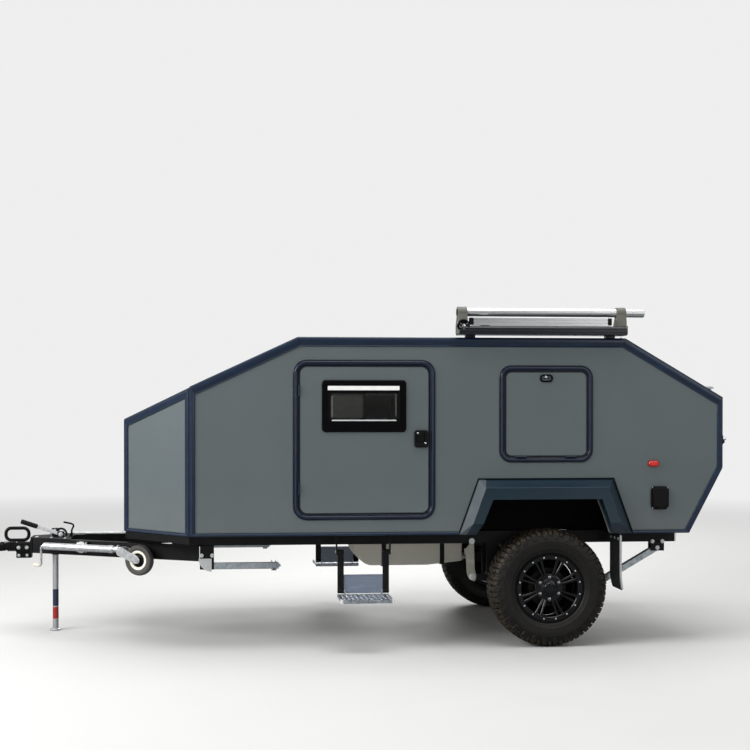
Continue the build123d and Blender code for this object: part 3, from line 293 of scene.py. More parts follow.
def painted_panel(name, colour):
    """Textured paint: grain about a millimetre across over a slow, shallow unevenness."""
    look = Look(name, colour, 0.5, Specular_IOR_Level=0.35)
    unevenness = look.noise(2.3, 3)
    tone = unevenness * 0.22 + look.noise(420, 2) * 0.3 + 0.74
    dusty = (1 - look.axis("Z").rise(0.7, dust_top)) * look.noise(9, 5) * 0.22
    toned = look.mix(tone.rise(0.8, 1.2), shaded(colour, 0.87), shaded(colour, 1.13))
    return look.finish(
        depth_inside(look).rise(*lining_depth), look.mix(dusty, toned, dust_colour), lining_colour,
        look.noise(14, 4) * 0.16 + 0.4 + dusty * 0.4,
        look.noise(900, 2) * 0.8 + unevenness * 0.2, 0.00045,
    )


def dress(material, *names):
    """Gives CAD nodes one material."""
    for name in names:
        nodes[name].data.materials.clear()
        nodes[name].data.materials.append(material)


cabin_leaves = ["door_left", "door_right", "side_hatch_left", "side_hatch_right", "tail_hatch"]
cabin_walls = ["side_wall_left", "side_wall_right", "tail_lower_panel", "nose_front_panel"]
cabin_paint = painted_panel("cabin paint", cabin_colour)
dress(cabin_paint, *cabin_leaves, *cabin_walls, "roof_panel", "front_slope_panel", "nose_sides")

# Edge mouldings. Pressed aluminium corner trim painted dark blue, bedded in sealant and screwed
# over the panels' edges. Its outer edge is rolled over and its inner edge ends in a small bead.
moulding_colour = (0.003, 0.0125, 0.033)
moulding_wide = 55
moulding_corner = 36
moulding_narrow = 32
moulding_sill = 22
moulding_cap = 6
moulding_height = 10
moulding_return = 55
sill_gap = (657, 1783)
roll = np.linspace(0, pi / 2, 7)
# The section's points: share of the width, height over the panel
moulding_section = np.concatenate([
    [(0, -moulding_return), (0.04, -moulding_return), (0.04, -2), (0.9, -2), (1, 0.5), (0.985, 4.5)],
    [(0.93, 6.5), (0.86, 4.5), (0.82, 5.5), (0.62, 8.5), (0.45, moulding_height)],
    np.stack([0.36 * (1 - np.sin(roll)), moulding_height * np.cos(roll)], axis=-1),
])


def unit(vectors):
    """Vectors of length 1 in the same directions."""
    vectors = np.asarray(vectors, float)
    return vectors / np.maximum(np.linalg.norm(vectors, axis=-1, keepdims=True), 1e-12)


def skin(grid, ring=True, loop=False):
    """A grid of points as (points, faces): a face between each four neighbours. Rows close round
    on themselves where ring is set, the last row joins the first where loop is set, and
    otherwise the first and last rows are closed by a flat face each."""
    rows, columns = grid.shape[:2]
    down = np.arange(rows if loop else rows - 1)[:, None]
    along = np.arange(columns if ring else columns - 1)[None, :]
    below = (down + 1) % rows * columns
    beside = (along + 1) % columns
    here = down * columns
    quads = np.stack([here + along, here + beside, below + beside, below + along], axis=-1)
    faces = quads.reshape(-1, 4).tolist()
    if ring and not loop:
        faces += [list(range(columns)), list(range((rows - 1) * columns, rows * columns))]
    return grid.reshape(-1, 3), faces


def mirrored(shape):
    """The same shape on the trailer's other side."""
    points, faces = shape
    return points * (1, -1, 1), [face[::-1] for face in faces]


def both(shapes):
    """The shapes and their mirror images on the trailer's other side."""
    return shapes + [mirrored(shape) for shape in shapes]


def build(name, shapes, material, body="trailer", replaces=(), crease=35):
    """Joins shapes into one piece in metres whose faces point outwards, smooth except at edges
    sharper than crease degrees."""
    faces = []
    start = 0
    for points, shape_faces in shapes:
        faces += [[corner + start for corner in face] for face in shape_faces]
        start += len(points)
    mesh = bpy.data.meshes.new(name)
    mesh.from_pydata((np.concatenate([points for points, _ in shapes]) * mm).tolist(), [], faces)
    tidy = bmesh.new()
    tidy.from_mesh(mesh)
    bmesh.ops.remove_doubles(tidy, verts=tidy.verts, dist=1e-6)
    bmesh.ops.recalc_face_normals(tidy, faces=tidy.faces)
    tidy.to_mesh(mesh)
    tidy.free()
    mesh.shade_smooth()
    mesh.set_sharp_from_angle(angle=radians(crease))
    mesh.materials.append(material)
    piece = bpy.data.objects.new(name, mesh)
    scene.collection.objects.link(piece)
    flatten = piece.modifiers.new("flat faces stay flat", "WEIGHTED_NORMAL")
    flatten.keep_sharp = True
    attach(piece, body)
    if replaces:
        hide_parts(*replaces)


def inset(outline, distances):
    """Corners of an anticlockwise outline with side i, from corner i to the next, moved inwards by
    distance i. Each corner slides to where its two moved sides cross."""
    outline = np.asarray(outline, float)
    distances = np.broadcast_to(np.asarray(distances, float), len(outline))
    leaving = unit(np.roll(outline, -1, axis=0) - outline)
    arriving = np.roll(leaving, 1, axis=0)
    second = np.stack([-leaving[:, 1], leaving[:, 0]], axis=-1)
    first = np.stack([-arriving[:, 1], arriving[:, 0]], axis=-1)
    before = np.roll(distances, 1)
    lean = np.sum(first * second, axis=-1)
    spread = np.maximum(1 - lean * lean, 1e-9)
    straight = (1 - lean * lean) < 1e-6
    first_share = np.where(straight, before / 2, (before - lean * distances) / spread)
    second_share = np.where(straight, distances / 2, (distances - lean * before) / spread)
    return outline + first * first_share[:, None] + second * second_share[:, None]


def on_plane(plane, flat, height):
    """Points of a flat drawing, lifted by height, on a plane given as origin, x and y directions."""
    origin, across, up = (np.asarray(part, float) for part in plane)
    out = np.cross(across, up)
    height = np.broadcast_to(np.asarray(height, float), flat.shape[:-1])
    return origin + flat[..., :1] * across + flat[..., 1:2] * up + height[..., None] * out


def strips(plane, outline, inner, section, outer=0, gap=0.8):
    """Flat mouldings along an outline's sides: each is a section of (share of the width, height)
    points carried from corner to corner, mitred, with a hairline left at the mitre. A side whose
    inner width is 0 has no moulding."""
    section = np.asarray(section, float)
    outside = inset(outline, -np.asarray(outer, float))
    inside = inset(outline, inner)
    made = []
    for side, width in enumerate(inner):
        if width <= 0:
            continue
        other = (side + 1) % len(outside)
        along = unit(outside[other] - outside[side]) * gap
        begin = outside[side] + section[:, :1] * (inside[side] - outside[side]) + along
        end = outside[other] + section[:, :1] * (inside[other] - outside[other]) - along
        flat = np.stack([begin, end])
        made.append(skin(on_plane(plane, flat, np.stack([section[:, 1]] * 2))))
    return made


def rolled_paint(name, colour, roughness, wear):
    """Painted sheet: a slow unevenness, rubbed lighter in short streaks, under a thin clear coat."""
    look = Look(name, colour, roughness, Specular_IOR_Level=0.3, Coat_Weight=0.3, Coat_Roughness=0.2)
    streaks = look.noise(38, 5, stretch=(0.25, 1, 1)).rise(0.52, 0.78)
    gloss = look.noise(22, 4) * 0.22 + (roughness - 0.1)
    return look.finish(streaks * wear, colour, shaded(colour, 2.4), gloss, look.noise(260, 2), 0.00018)


def upright(left, right, low, high):
    """The corners of a rectangle, anticlockwise from its lower left."""
    return [(left, low), (right, low), (right, high), (left, high)]


moulding_paint = rolled_paint("moulding paint", moulding_colour, 0.34, 0.45)
side_outline = [
    (corner_x, floor_z), (tail_floor, floor_z), (tail_x, tail_low), (tail_x, tail_top),
    (roof_rear, roof_z), (roof_front, roof_z), (corner_x, corner_top),
]
side_widths = [0, moulding_narrow, moulding_narrow] + [moulding_wide] * 3 + [moulding_corner]
side_caps = [0] + [moulding_cap] * 5 + [0]
nose_outline = [(0, floor_z), (taper_length, floor_z), (taper_length, corner_top), (0, nose_top)]
nose_widths = [moulding_sill, moulding_corner, moulding_wide, moulding_narrow]
front_outline = upright(-nose_half, nose_half, floor_z, nose_top)
front_widths = [moulding_sill, moulding_narrow, moulding_wide, moulding_narrow]
flat_section = moulding_section[2:].copy()
flat_section[:, 0] = (flat_section[:, 0] - 0.04).clip(0) / 0.96
left_mouldings = strips(left_plane, side_outline, side_widths, moulding_section, side_caps)
left_mouldings += strips(nose_plane, nose_outline, nose_widths, flat_section)
for sill_start, sill_end in ((corner_x, sill_gap[0]), (sill_gap[1], tail_floor)):
    sill_outline = upright(sill_start, sill_end, floor_z, roof_z)
    left_mouldings += strips(left_plane, sill_outline, [moulding_sill, 0, 0, 0], flat_section)
front_mouldings = strips(front_plane, front_outline, front_widths, flat_section)
build(
    "edge_trim", both(left_mouldings) + front_mouldings, moulding_paint,
    replaces=["edge_mouldings"], crease=40,
)

# Door and side hatch frames. Extruded half-round surrounds with a thin flat lip each side, bent
# round the opening and painted like the edge trim; the leaves' hinge knuckles stand on them.
# The bead and knuckles are painted a lighter blue than the dark lips: a painted highlight.
frame_height = 12.5
frame_foot = 6
frame_band = 36
leaf_gap = 6
lip_height = 2.1
lip_swell = 4.5
# Each leaf: middle along and up the wall, width, height, corner radius
door_leaf = (52, 1323, 820, 926, 48)
hatch_leaf = (1218, 1486, 526, 536, 38)
knuckle_radius = 6
knuckle_out = 13
knuckle_length = 70
knuckle_edge = 1.2
door_hinge_spread = 620
hatch_hinge_spread = 320


def round_box(middle_x, middle_y, width, height, radius, steps=8):
    """An anticlockwise rectangle whose corners are quarter circles."""
    turn = np.linspace(0, pi / 2, steps)
    corners = []
    for quarter, (side_x, side_y) in enumerate(((1, 1), (-1, 1), (-1, -1), (1, -1))):
        angle = turn + quarter * pi / 2
        centre = (middle_x + side_x * (width / 2 - radius), middle_y + side_y * (height / 2 - radius))
        corners.append(np.stack([np.cos(angle), np.sin(angle)], axis=-1) * radius + centre)
    return np.concatenate(corners)


def ring_frame(plane, shape, section, steps=10):
    """A section of (distance outside the rounded rectangle, height) points carried round it."""
    middle_x, middle_y, width, height, radius = shape
    rows = []
    for out, lift in section:
        grown = (width + 2 * out, height + 2 * out, max(radius + out, 0.5))
        rows.append(on_plane(plane, round_box(middle_x, middle_y, *grown, steps), lift))
    return skin(np.stack(rows), loop=True)


def turned(profile, centre, axis, steps=32, loop=False):
    """A profile of (radius, distance along the axis) points turned about the axis."""
    profile = np.asarray(profile, float)
    axis = unit(axis)
    other = (0, 0, 1) if abs(axis[2]) < 0.9 else (1, 0, 0)
    side = unit(np.cross(axis, other))
    third = np.cross(axis, side)
    angle = np.linspace(0, 2 * pi, steps, endpoint=False)[:, None]
    spokes = np.cos(angle) * side + np.sin(angle) * third
    grid = np.asarray(centre, float) + profile[:, :1, None] * spokes + profile[:, 1:, None] * axis
    return skin(grid, loop=loop)


def rounded_pin(radius, length, edge):
    """Profile of a round pin with its two edges rounded, from its foot to its end."""
    return [(radius - edge, 0), (radius, edge), (radius, length - edge), (radius - edge, length)]


arch = np.linspace(0, pi, 13)
bead = [(0.5 - 0.26 * cos(angle), frame_foot + sin(angle) * (frame_height - frame_foot)) for angle in arch]
bead_section = [
    (leaf_gap + share * frame_band, height) for share, height in [(0.24, 2)] + bead + [(0.76, 2)]
]
lip_sections = []
for start, end in ((0, 0.235), (0.765, 1)):
    first, last = leaf_gap + start * frame_band, leaf_gap + end * frame_band
    lip_line = [
        ((first + last) / 2 - (last - first) / 2 * cos(angle), lip_height + lip_swell * sin(angle))
        for angle in arch[::2]
    ]
    lip_sections.append([(first, 0)] + lip_line + [(last, 0)])
leaves = (door_leaf, hatch_leaf)
frame_rings = [ring_frame(left_plane, leaf, bead_section) for leaf in leaves]
lip_rings = [ring_frame(left_plane, leaf, section) for leaf in leaves for section in lip_sections]
knuckle = rounded_pin(knuckle_radius, knuckle_length, knuckle_edge)
door_edge = door_leaf[0] - door_leaf[2] / 2 - leaf_gap / 2
hatch_edge = hatch_leaf[1] - hatch_leaf[3] / 2 - leaf_gap / 2
for end in (-0.5, 0.5):
    door_pin = door_leaf[1] + end * door_hinge_spread - knuckle_length / 2
    hatch_pin = hatch_leaf[0] + end * hatch_hinge_spread - knuckle_length / 2
    frame_rings.append(turned(knuckle, (door_edge, -half - knuckle_out, door_pin), (0, 0, 1), 16))
    frame_rings.append(turned(knuckle, (hatch_pin, -half - knuckle_out, hatch_edge), (1, 0, 0), 16))
# Painted highlight: the bead's blue is lighter than the lips' to stand in for the light along its crown.
frame_paint_painted_highlight = rolled_paint("frame paint painted highlight", (0.006, 0.0125, 0.029), 0.22, 0.3)
lip_paint = rolled_paint("frame lip paint", (0.002, 0.0045, 0.015), 0.3, 0.2)
build("opening_surrounds", both(frame_rings), frame_paint_painted_highlight, replaces=["opening_frames"])
build("surround_lips", both(lip_rings), lip_paint)

# Leaf edges. A thin dark aluminium channel is folded round each door and side hatch, and closes
# the cut edge of its foam core.
leaf_proud = 5
channel_section = [(0.6, 1), (0.6, 5.72), (0, 6.2), (-4, 6.2), (-4.8, 5.2), (-4.8, 1)]
channel_paint = rolled_paint("leaf channel", (0.012, 0.016, 0.026), 0.35, 0.3)


def pair(name, shapes, material, body="trailer", replaces=None, crease=35):
    """Builds a left-hand piece and its mirror image, each riding on its own body."""
    for side, own in (("left", shapes), ("right", [mirrored(shape) for shape in shapes])):
        rides_on = body if body == "trailer" else f"{body}_{side}"
        stands_for = [f"{replaces}_{side}"] if replaces else ()
        build(f"{name}_{side}", own, material, rides_on, stands_for, crease)


for leaf_name, leaf in (("door", door_leaf), ("side_hatch", hatch_leaf)):
    edge_ring = ring_frame(left_plane, leaf, channel_section)
    pair(f"{leaf_name}_edge", [edge_ring], channel_paint, leaf_name)

# Door window. A moulded black acrylic unit, bonded over the hole: a deep rounded border, a sunk
# light with a polished lip and a swelled pane, and a white blind case along the border's top.
# A pale ledge along the light's foot is a painted highlight for the light that falls on it from above.
window_shape = (50, 1536, 536, 330, 25)
light_shape = (49, 1536, 441, 182, 22)
blind_shape = (46, 1649, 454, 27, 3)
pane_shape = (50, 1536, 474, 268, 24)
pane_foot = (49, 1536, 427, 168, 16)
inner_shape = (50, 1536, 470, 264, 24)
window_top = leaf_proud + 10
pane_thick = 3
pane_swell = 4.5
pane_dome = 2
swell_width = 20
swell_start = 7
swell_end = 75


def plate(plane, outline, low, high, edge=1, steps=3):
    """A flat plate of an outline between two heights, with its edges rounded over."""
    turn = np.linspace(0, pi / 2, steps)
    lower = [(edge * (1 - sin(a)), low + edge * (1 - cos(a))) for a in turn]
    upper = [(drawn, high + low - lift) for drawn, lift in reversed(lower)]
    rows = [on_plane(plane, inset(outline, drawn), lift) for drawn, lift in lower + upper]
    return skin(np.stack(rows))


def plastic(name, colour, roughness, grain_scale=700, grain_height=0.0002, **sockets):
    """Moulded plastic: a fine even grain, a slightly cloudy gloss and a trace of dust."""
    shine = {"Specular_IOR_Level": 0.12 if max(colour) < 0.02 else 0.5}
    look = Look(name, colour, roughness, **{**shine, **sockets})
    cloud = look.noise(17, 4)
    dust = cloud.rise(0.45, 0.8) * 0.25
    gloss = cloud * 0.2 + (roughness - 0.1)
    return look.finish(dust, colour, shaded(colour, 2.2), gloss, look.noise(grain_scale, 2), grain_height)


def between(plane, first, second, rows, steps=10):
    """A skin of (share of the way from the first rounded rectangle to the second, height) rows."""
    first_line = round_box(*first, steps)
    second_line = round_box(*second, steps)
    grid = [on_plane(plane, first_line + share * (second_line - first_line), lift) for share, lift in rows]
    return skin(np.stack(grid), loop=True)


black_gloss = plastic(
    "black acrylic", (0.0015, 0.0015, 0.002), 0.14, 90, 0.00005, Specular_IOR_Level=0.15,
)
black_satin = plastic("black moulding", (0.004, 0.004, 0.0045), 0.42)
white_case = plastic("white blind case", (0.82, 0.82, 0.8), 0.4)
# Painted highlight: the ledge along the light's foot is coloured pale for the light from above.
pale_ledge_painted_highlight = plastic("pale ledge painted highlight", (0.66, 0.68, 0.7), 0.2, 60, 0.00003, Coat_Weight=0.6)
inner_frame = plastic("inner window frame", (0.012, 0.012, 0.014), 0.5)
glass = Look("window acrylic", (0.18, 0.18, 0.17), 0.03, Transmission_Weight=1, IOR=1.45)
glass.finish(
    roughness=glass.noise(11, 4).rise(0.5, 0.9) * 0.05 + 0.02, height=glass.noise(4, 1),
    proud=0.0004,
)
border_rows = [(0, 2)]
border_rows += [(0.1 * (1 - cos(a)), leaf_proud + 10 * sin(a)) for a in np.linspace(0, pi / 2, 6)]
border_rows += [(0.9, window_top), (0.96, window_top - 1.5), (1, window_top - 7), (1, 2)]
lip_section = [(-4 + 4 * cos(a), 9 + 4 * sin(a)) for a in np.linspace(0, pi, 9)]
ledge_section = [(-3.5, 2), (5, 2), (5.2, 16.5), (4, 18), (-2, 16), (-3.5, 13)]
ledge_low = light_shape[1] - light_shape[3] / 2
ledge_grid = np.array([
    [(light_shape[0] + x, -half - out, ledge_low + up * share) for up, out in ledge_section]
    for x, share in ((-205, 0.4), (-200, 1), (200, 1), (205, 0.4))
])
pane_levels = [(pane_shape, 0), (pane_foot, 0)]
for drawn in (3, 7, 12, 20, 35, 55, 75):
    rise = sin(min(drawn / swell_width, 1) * pi / 2) * pane_swell + drawn / swell_end * pane_dome
    size = [length - 2 * (swell_start + drawn) for length in light_shape[2:4]]
    pane_levels.append(((*pane_foot[:2], *size, max(pane_foot[4] - drawn * 0.4, 3)), rise))
pane_rows = [on_plane(left_plane, round_box(*box, 6), rise) for box, rise in reversed(pane_levels)]
pane_rows += [on_plane(left_plane, round_box(*box, 6), rise + pane_thick) for box, rise in pane_levels]
border = between(left_plane, window_shape, light_shape, border_rows)
light_lip = ring_frame(left_plane, light_shape, [(0, 3)] + lip_section + [(-8, 3)])
blind = plate(left_plane, round_box(*blind_shape), leaf_proud, window_top + 1.5)
inner_ring = ring_frame(left_plane, inner_shape, [(2, -34), (2, -6), (-16, -6), (-16, -34)])
pair("window_border", [border], black_gloss, "door", "door_fittings")
pair("window_lip", [light_lip], black_gloss, "door")
pair("window_ledge", [skin(ledge_grid)], pale_ledge_painted_highlight, "door")
pair("blind_case", [blind], white_case, "door")
pair("window_pane", [skin(np.stack(pane_rows))], glass.material, "door", "door_pane")
pair("window_inner_frame", [inner_ring], inner_frame, "door")

# Door handle. A black flush lock: a rounded case, a sunk paddle hinged along its top, a key
# barrel, and two bright screws at opposite corners.
handle_shape = (413, 1329, 90, 110, 18)
paddle_shape = (407, 1336, 50, 56, 8)
paddle_inner = (407, 1334, 44, 48, 6)
handle_top = leaf_proud + 22
screw_places = ((389, 1365), (438, 1301))
key_place = (412, -half, 1293)
key_barrel = [(0, 20), (9, 20), (9, 28.5), (7, 29.5), (0, 28.5)]
bright_look = Look("bright screws", (0.62, 0.63, 0.65), 0.22, 1)
bright_steel = bright_look.finish(height=bright_look.noise(500, 2), proud=0.00005)


def screw(plane, place, height, radius=5.5):
    """A raised round screw head, standing at a height on a plane."""
    centre = on_plane(plane, np.asarray([place], float), height)[0]
    out = np.cross(plane[1], plane[2])
    head = [(0, -2), (radius, -2), (radius, 0.6), (radius * 0.8, 1.8), (radius * 0.35, 2.4), (0, 2.4)]
    return turned(head, centre, out, 16)


handle_rows = [(0, 4), (0, 14), (0.05, 19), (0.16, handle_top), (0.92, handle_top), (1, 21), (1, 4)]
handle_shapes = [
    between(left_plane, handle_shape, paddle_shape, handle_rows, 6),
    plate(left_plane, round_box(*paddle_inner), 6, 22, 3),
    turned(key_barrel, key_place, (0, -1, 0), 24),
]
handle_screws = [screw(left_plane, place, handle_top) for place in screw_places]
pair("door_handle", handle_shapes, black_satin, "door")
pair("handle_screws", handle_screws, bright_steel, "door")

# Side hatch latch. An oval compression latch bolted through the hatch: a black bezel, a bright
# domed centre and a small T-grip.
latch_centre = (1218, 1713)
latch_bezel = (*latch_centre, 88, 50, 25)
latch_dish = (*latch_centre, 60, 28, 14)
latch_rows = [(0, 3), (0, 9), (0.25, 13.5), (0.6, 15), (0.85, 12.5), (1, 8), (1, 3)]
dome = [(0, 16), (6, 15.5), (10, 13), (12, 6), (0, 6)]
dome_centre = (latch_centre[0] - 4, -half, latch_centre[1] + 4)
latch_case = between(left_plane, latch_bezel, latch_dish, latch_rows, 8)
latch_grip = plate(left_plane, round_box(*latch_centre, 34, 7, 3), 6, 18.5, 1.5)
latch_dome = turned(dome, dome_centre, (0, -1, 0), 20)
pair("latch_case", [latch_case, latch_grip], black_gloss, "side_hatch", "hatch_latch")
pair("latch_dome", [latch_dome], bright_steel, "side_hatch")

# Wheel flares. Moulded blue fenders screwed over the wheel arches: a bevel that leans out from
# the wall, a flat lip, and a return into the arch. A black rubber seal runs round their edge.
# The front bevel is mixed towards a pale grey in patches: a painted sheen for the light it catches.
flare_out = 85
flare_rake = 0.36
arch_rake = 0.41
flare_top = 1070
lip_top = 1021
lip_low = 795
arch_top = 946
flare_turn = 0.012
flare_edge = 0.1
flare_ends = (783, 1657)
lip_ends = (812, 1608)
arch_ends = (860, 1562)
flare_blue = (0.004, 0.018, 0.036)
flare_tones = ((0.002, 0.013, 0.024), (0.004, 0.02, 0.034))
bevel_sheen_grey = (0.17, 0.19, 0.2)
seal_radius = 5
seal_out = 4


def raked(ends, top, low, front_rake=flare_rake):
    """The four corners of an arch, from its front foot over its top to its rear foot."""
    front, rear = ends
    return np.array([
        (front - front_rake * (top - low), low), (front, top), (rear, top),
        (rear + flare_rake * (top - low), low),
    ])


def rod(points, radius, steps=12):
    """A round bar along a line of points, its joints mitred and its ends slightly rounded."""
    points = np.asarray(points, float)
    ways = unit(np.diff(points, axis=0))
    tangents = unit(np.vstack([ways[:1], ways[:-1] + ways[1:], ways[-1:]]))
    side = unit(np.cross(tangents[0], (0, 0, 1) if abs(tangents[0][2]) < 0.9 else (1, 0, 0)))
    angle = np.linspace(0, 2 * pi, steps, endpoint=False)[:, None]
    rings = []
    for place, tangent in enumerate(tangents):
        side = unit(side - tangent * np.dot(side, tangent))
        third = np.cross(tangent, side)
        rings.append(points[place] + radius * (np.cos(angle) * side + np.sin(angle) * third))
    edge = radius * 0.25
    first_cap = points[0] + (rings[0] - points[0]) * 0.78
    last_cap = points[-1] + (rings[-1] - points[-1]) * 0.78
    rings[0] = rings[0] + tangents[0] * edge
    rings[-1] = rings[-1] - tangents[-1] * edge
    return skin(np.stack([first_cap] + rings + [last_cap]))


def arc(centre, radius, first, last, axis="y", steps=9):
    """Points on part of a circle in the plane square to the X or Y axis, angles in degrees."""
    angle = np.radians(np.linspace(first, last, steps))
    across, up = np.cos(angle) * radius, np.sin(angle) * radius
    spare = np.zeros(steps)
    parts = (spare, across, up) if axis == "x" else (across, spare, up)
    return np.asarray(centre, float) + np.stack(parts, axis=-1)


base_line = raked(flare_ends, flare_top, floor_z)
lip_line = raked(lip_ends, lip_top, lip_low)
arch_lip = raked(arch_ends, arch_top, lip_low, arch_rake)
arch_base = raked(arch_ends, arch_top, floor_z, arch_rake)
flare_rows = []
for outer, inner, start_out, end_out in (
    (base_line, lip_line, 0, flare_out), (lip_line, arch_lip, flare_out, flare_out),
    (arch_lip, arch_base, flare_out, 0),
):
    for share in (flare_turn, flare_edge, 1 - flare_edge, 1 - flare_turn):
        flare_rows.append((outer + share * (inner - outer), start_out + share * (end_out - start_out)))
flare_rows[0] = (base_line, 0)
flare_rows[-1] = (arch_base, 0)
flare_grid = np.stack([on_plane(left_plane, line, out) for line, out in flare_rows], axis=1)
flare_look = Look(
    "flare paint", flare_blue, 0.3, Coat_Weight=0.6, Coat_Roughness=0.27, Coat_IOR=1.6,
    Specular_IOR_Level=0.1,
)
flare_dust = (1 - flare_look.axis("Z").rise(0.72, 1)) * flare_look.noise(16, 6) * 0.12
# Painted sheen: on the front bevel only, the colour is mixed towards a pale grey in patches.
flare_front = flare_look.axis("Z") * flare_rake + (lip_ends[0] - flare_rake * lip_top) * mm
on_bevel = (flare_front - flare_look.axis("X")).rise(-0.002, 0.002)
painted_bevel_sheen = on_bevel * (flare_look.noise(7, 4) * 0.3 + 0.3)
flare_tone = flare_look.mix(painted_bevel_sheen, flare_look.mix(flare_look.noise(5, 4), *flare_tones), bevel_sheen_grey)
flare_gloss = flare_look.noise(30, 5) * 0.25 + 0.2 + flare_dust * 0.6
flare_look.finish(flare_dust, flare_tone, dust_colour, flare_gloss, flare_look.noise(330, 2), 0.00025)
pair("flare", [skin(flare_grid)], flare_look.material, replaces="wheel_flare", crease=25)
seal_line = inset(base_line[::-1], [-seal_out, -seal_out, -seal_out, 0])[::-1]
rubber = plastic("rubber", (0.006, 0.006, 0.006), 0.6, 300)
pair("flare_seal", [rod(on_plane(left_plane, seal_line, 2), seal_radius, 8)], rubber)

# Tyres. Mud-terrain tyres with blocks in the middle of the tread and heavy lugs that wrap over
# the shoulder on to the sidewall. The rubber is dusty in its grooves and polished on its crown.
wheel_centre = np.array([1240, -867.5, 374.5])
tyre_half = np.array([
    # distance out from the middle, radius
    (0, 361.5), (30, 361.5), (60, 360.8), (82, 358), (97, 352), (107, 342), (113.5, 328), (119, 312),
    (121.5, 306), (121.8, 302), (120.8, 300), (121.5, 290), (120, 274), (116.8, 259), (117.8, 256),
    (117.2, 253), (114, 250), (108, 238), (106, 232), (103.5, 227), (96, 222.5), (89, 221.5), (89, 203.5),
])
tread_path = tyre_half[:12]
tread_steps = np.concatenate([[0], np.cumsum(np.linalg.norm(np.diff(tread_path, axis=0), axis=1))])
tread_pitches = 30
lug_bevel = 2.2
lug_root = 4
# Each lug's stations: distance from the middle along the tread, place round the tyre, half its
# length round the tyre, and height above the carcass.
centre_block = ((4, -15, 14, 12.8), (20, -6, 18, 13), (42, 4, 16, 13))
side_block = ((6, 22, 11, 12.8), (26, 33, 14, 13), (46, 41, 12, 13))
long_lug = (
    (54, 2, 16, 13.2), (78, 0, 18, 14), (96, -2, 18, 12), (108, -3, 18, 9.5), (122, -3, 17, 7),
    (140, -3, 14, 4),
)
short_lug = ((58, 40, 12, 13.2), (78, 38, 14, 14), (96, 37, 14, 11.5), (106, 37, 14, 9), (116, 37, 12, 5))
tyre_black = (0.0045, 0.0042, 0.004)
tyre_film = (0.085, 0.075, 0.06)
tyre_dirt = (0.11, 0.08, 0.042)


def wheel_point(radius, angle, out):
    """Points at a radius and angle about the wheel's axle, out from the wheel's middle."""
    radius, angle, out = np.broadcast_arrays(radius, angle, out)
    return wheel_centre + np.stack([radius * np.cos(angle), -out, radius * np.sin(angle)], axis=-1)


def lug(stations, start, side):
    """One tread block. With s along the carcass profile and h the block's height there, its points
    are profile(s) + h * normal(s), and the angle round the tyre is start + place / tyre radius."""
    stations = np.array(stations, float)
    first, last = stations[0].copy(), stations[-1].copy()
    first[0] -= lug_bevel
    first[3] -= 2 * lug_bevel
    last[0] += lug_bevel
    last[3] -= lug_bevel
    s, middle, half_length, high = np.vstack([first, stations, last]).T
    out, radius = (np.interp(s, tread_steps, line) for line in tread_path.T)
    ahead, ahead_radius = (np.interp(s + lug_root, tread_steps, line) for line in tread_path.T)
    way = unit(np.stack([ahead - out, ahead_radius - radius], axis=-1))
    normal_out, normal_up = -way[:, 1:], way[:, :1]
    shares = np.array([-1, -1, -1, 1, 1, 1])
    draw = np.array([0, 0, 1, 1, 0, 0]) * lug_bevel
    root = np.full(len(high), -lug_root)
    lift = np.stack([root, high - lug_bevel, high, high, high - lug_bevel, root], axis=-1)
    angle = start + side * (middle[:, None] + shares * (half_length[:, None] - draw)) / wheel_centre[2]
    radius = radius[:, None] + normal_up * lift
    out = out[:, None] + normal_out * lift
    return skin(wheel_point(radius, angle, side * out))


tyre_ring = np.vstack([tyre_half, (tyre_half * (-1, 1))[:0:-1]])[:, ::-1]
tyre_shapes = [turned(tyre_ring, wheel_centre, (0, -1, 0), 120, loop=True)]
for pitch in range(tread_pitches):
    for side, ahead in ((1, 0), (-1, 0.5)):
        start = (pitch + ahead) * 2 * pi / tread_pitches
        for stations in (centre_block, side_block, long_lug, short_lug):
            tyre_shapes.append(lug(stations, start, side))
tyre_look = Look("tyre rubber", tyre_black, 0.62, Specular_IOR_Level=0.25)
tyre_x = tyre_look.axis("X") - wheel_centre[0] * mm
tyre_z = tyre_look.axis("Z") - wheel_centre[2] * mm
tyre_radial = (tyre_x * tyre_x + tyre_z * tyre_z) ** 0.5
tread_part = tyre_radial.rise(0.325, 0.366)
crown = tyre_radial.rise(0.3735, 0.375)
dirt = tyre_look.noise(60, 6).rise(0.42, 0.72) * (tread_part * 0.8 + 0.08) * (1 - crown * 0.6)
film = tyre_look.noise(9, 5).rise(0.35, 0.85) * 0.03
tyre_gloss = 0.34 + tyre_look.noise(24, 4) * 0.22 + dirt * 0.25
tyre_tone = tyre_look.mix(film, tyre_black, tyre_film)
tyre_look.finish(dirt * 0.62, tyre_tone, tyre_dirt, tyre_gloss, tyre_look.noise(240, 4), 0.0007)
pair("tyre_body", tyre_shapes, tyre_look.material, "wheel", "tyre", 38)

# Rims. Black steel wheels: a rolled barrel, a clamp ring held by sixteen bright rivets, eight
# split spokes, a hub with six nuts round a small cap, and the brake drum behind.
rivet_count = 16
rivet_ring = 198
spoke_pairs = 8
nut_count = 6
nut_ring = 69.9
axle_way = (0, -1, 0)
rim_black = (0.002, 0.002, 0.003)
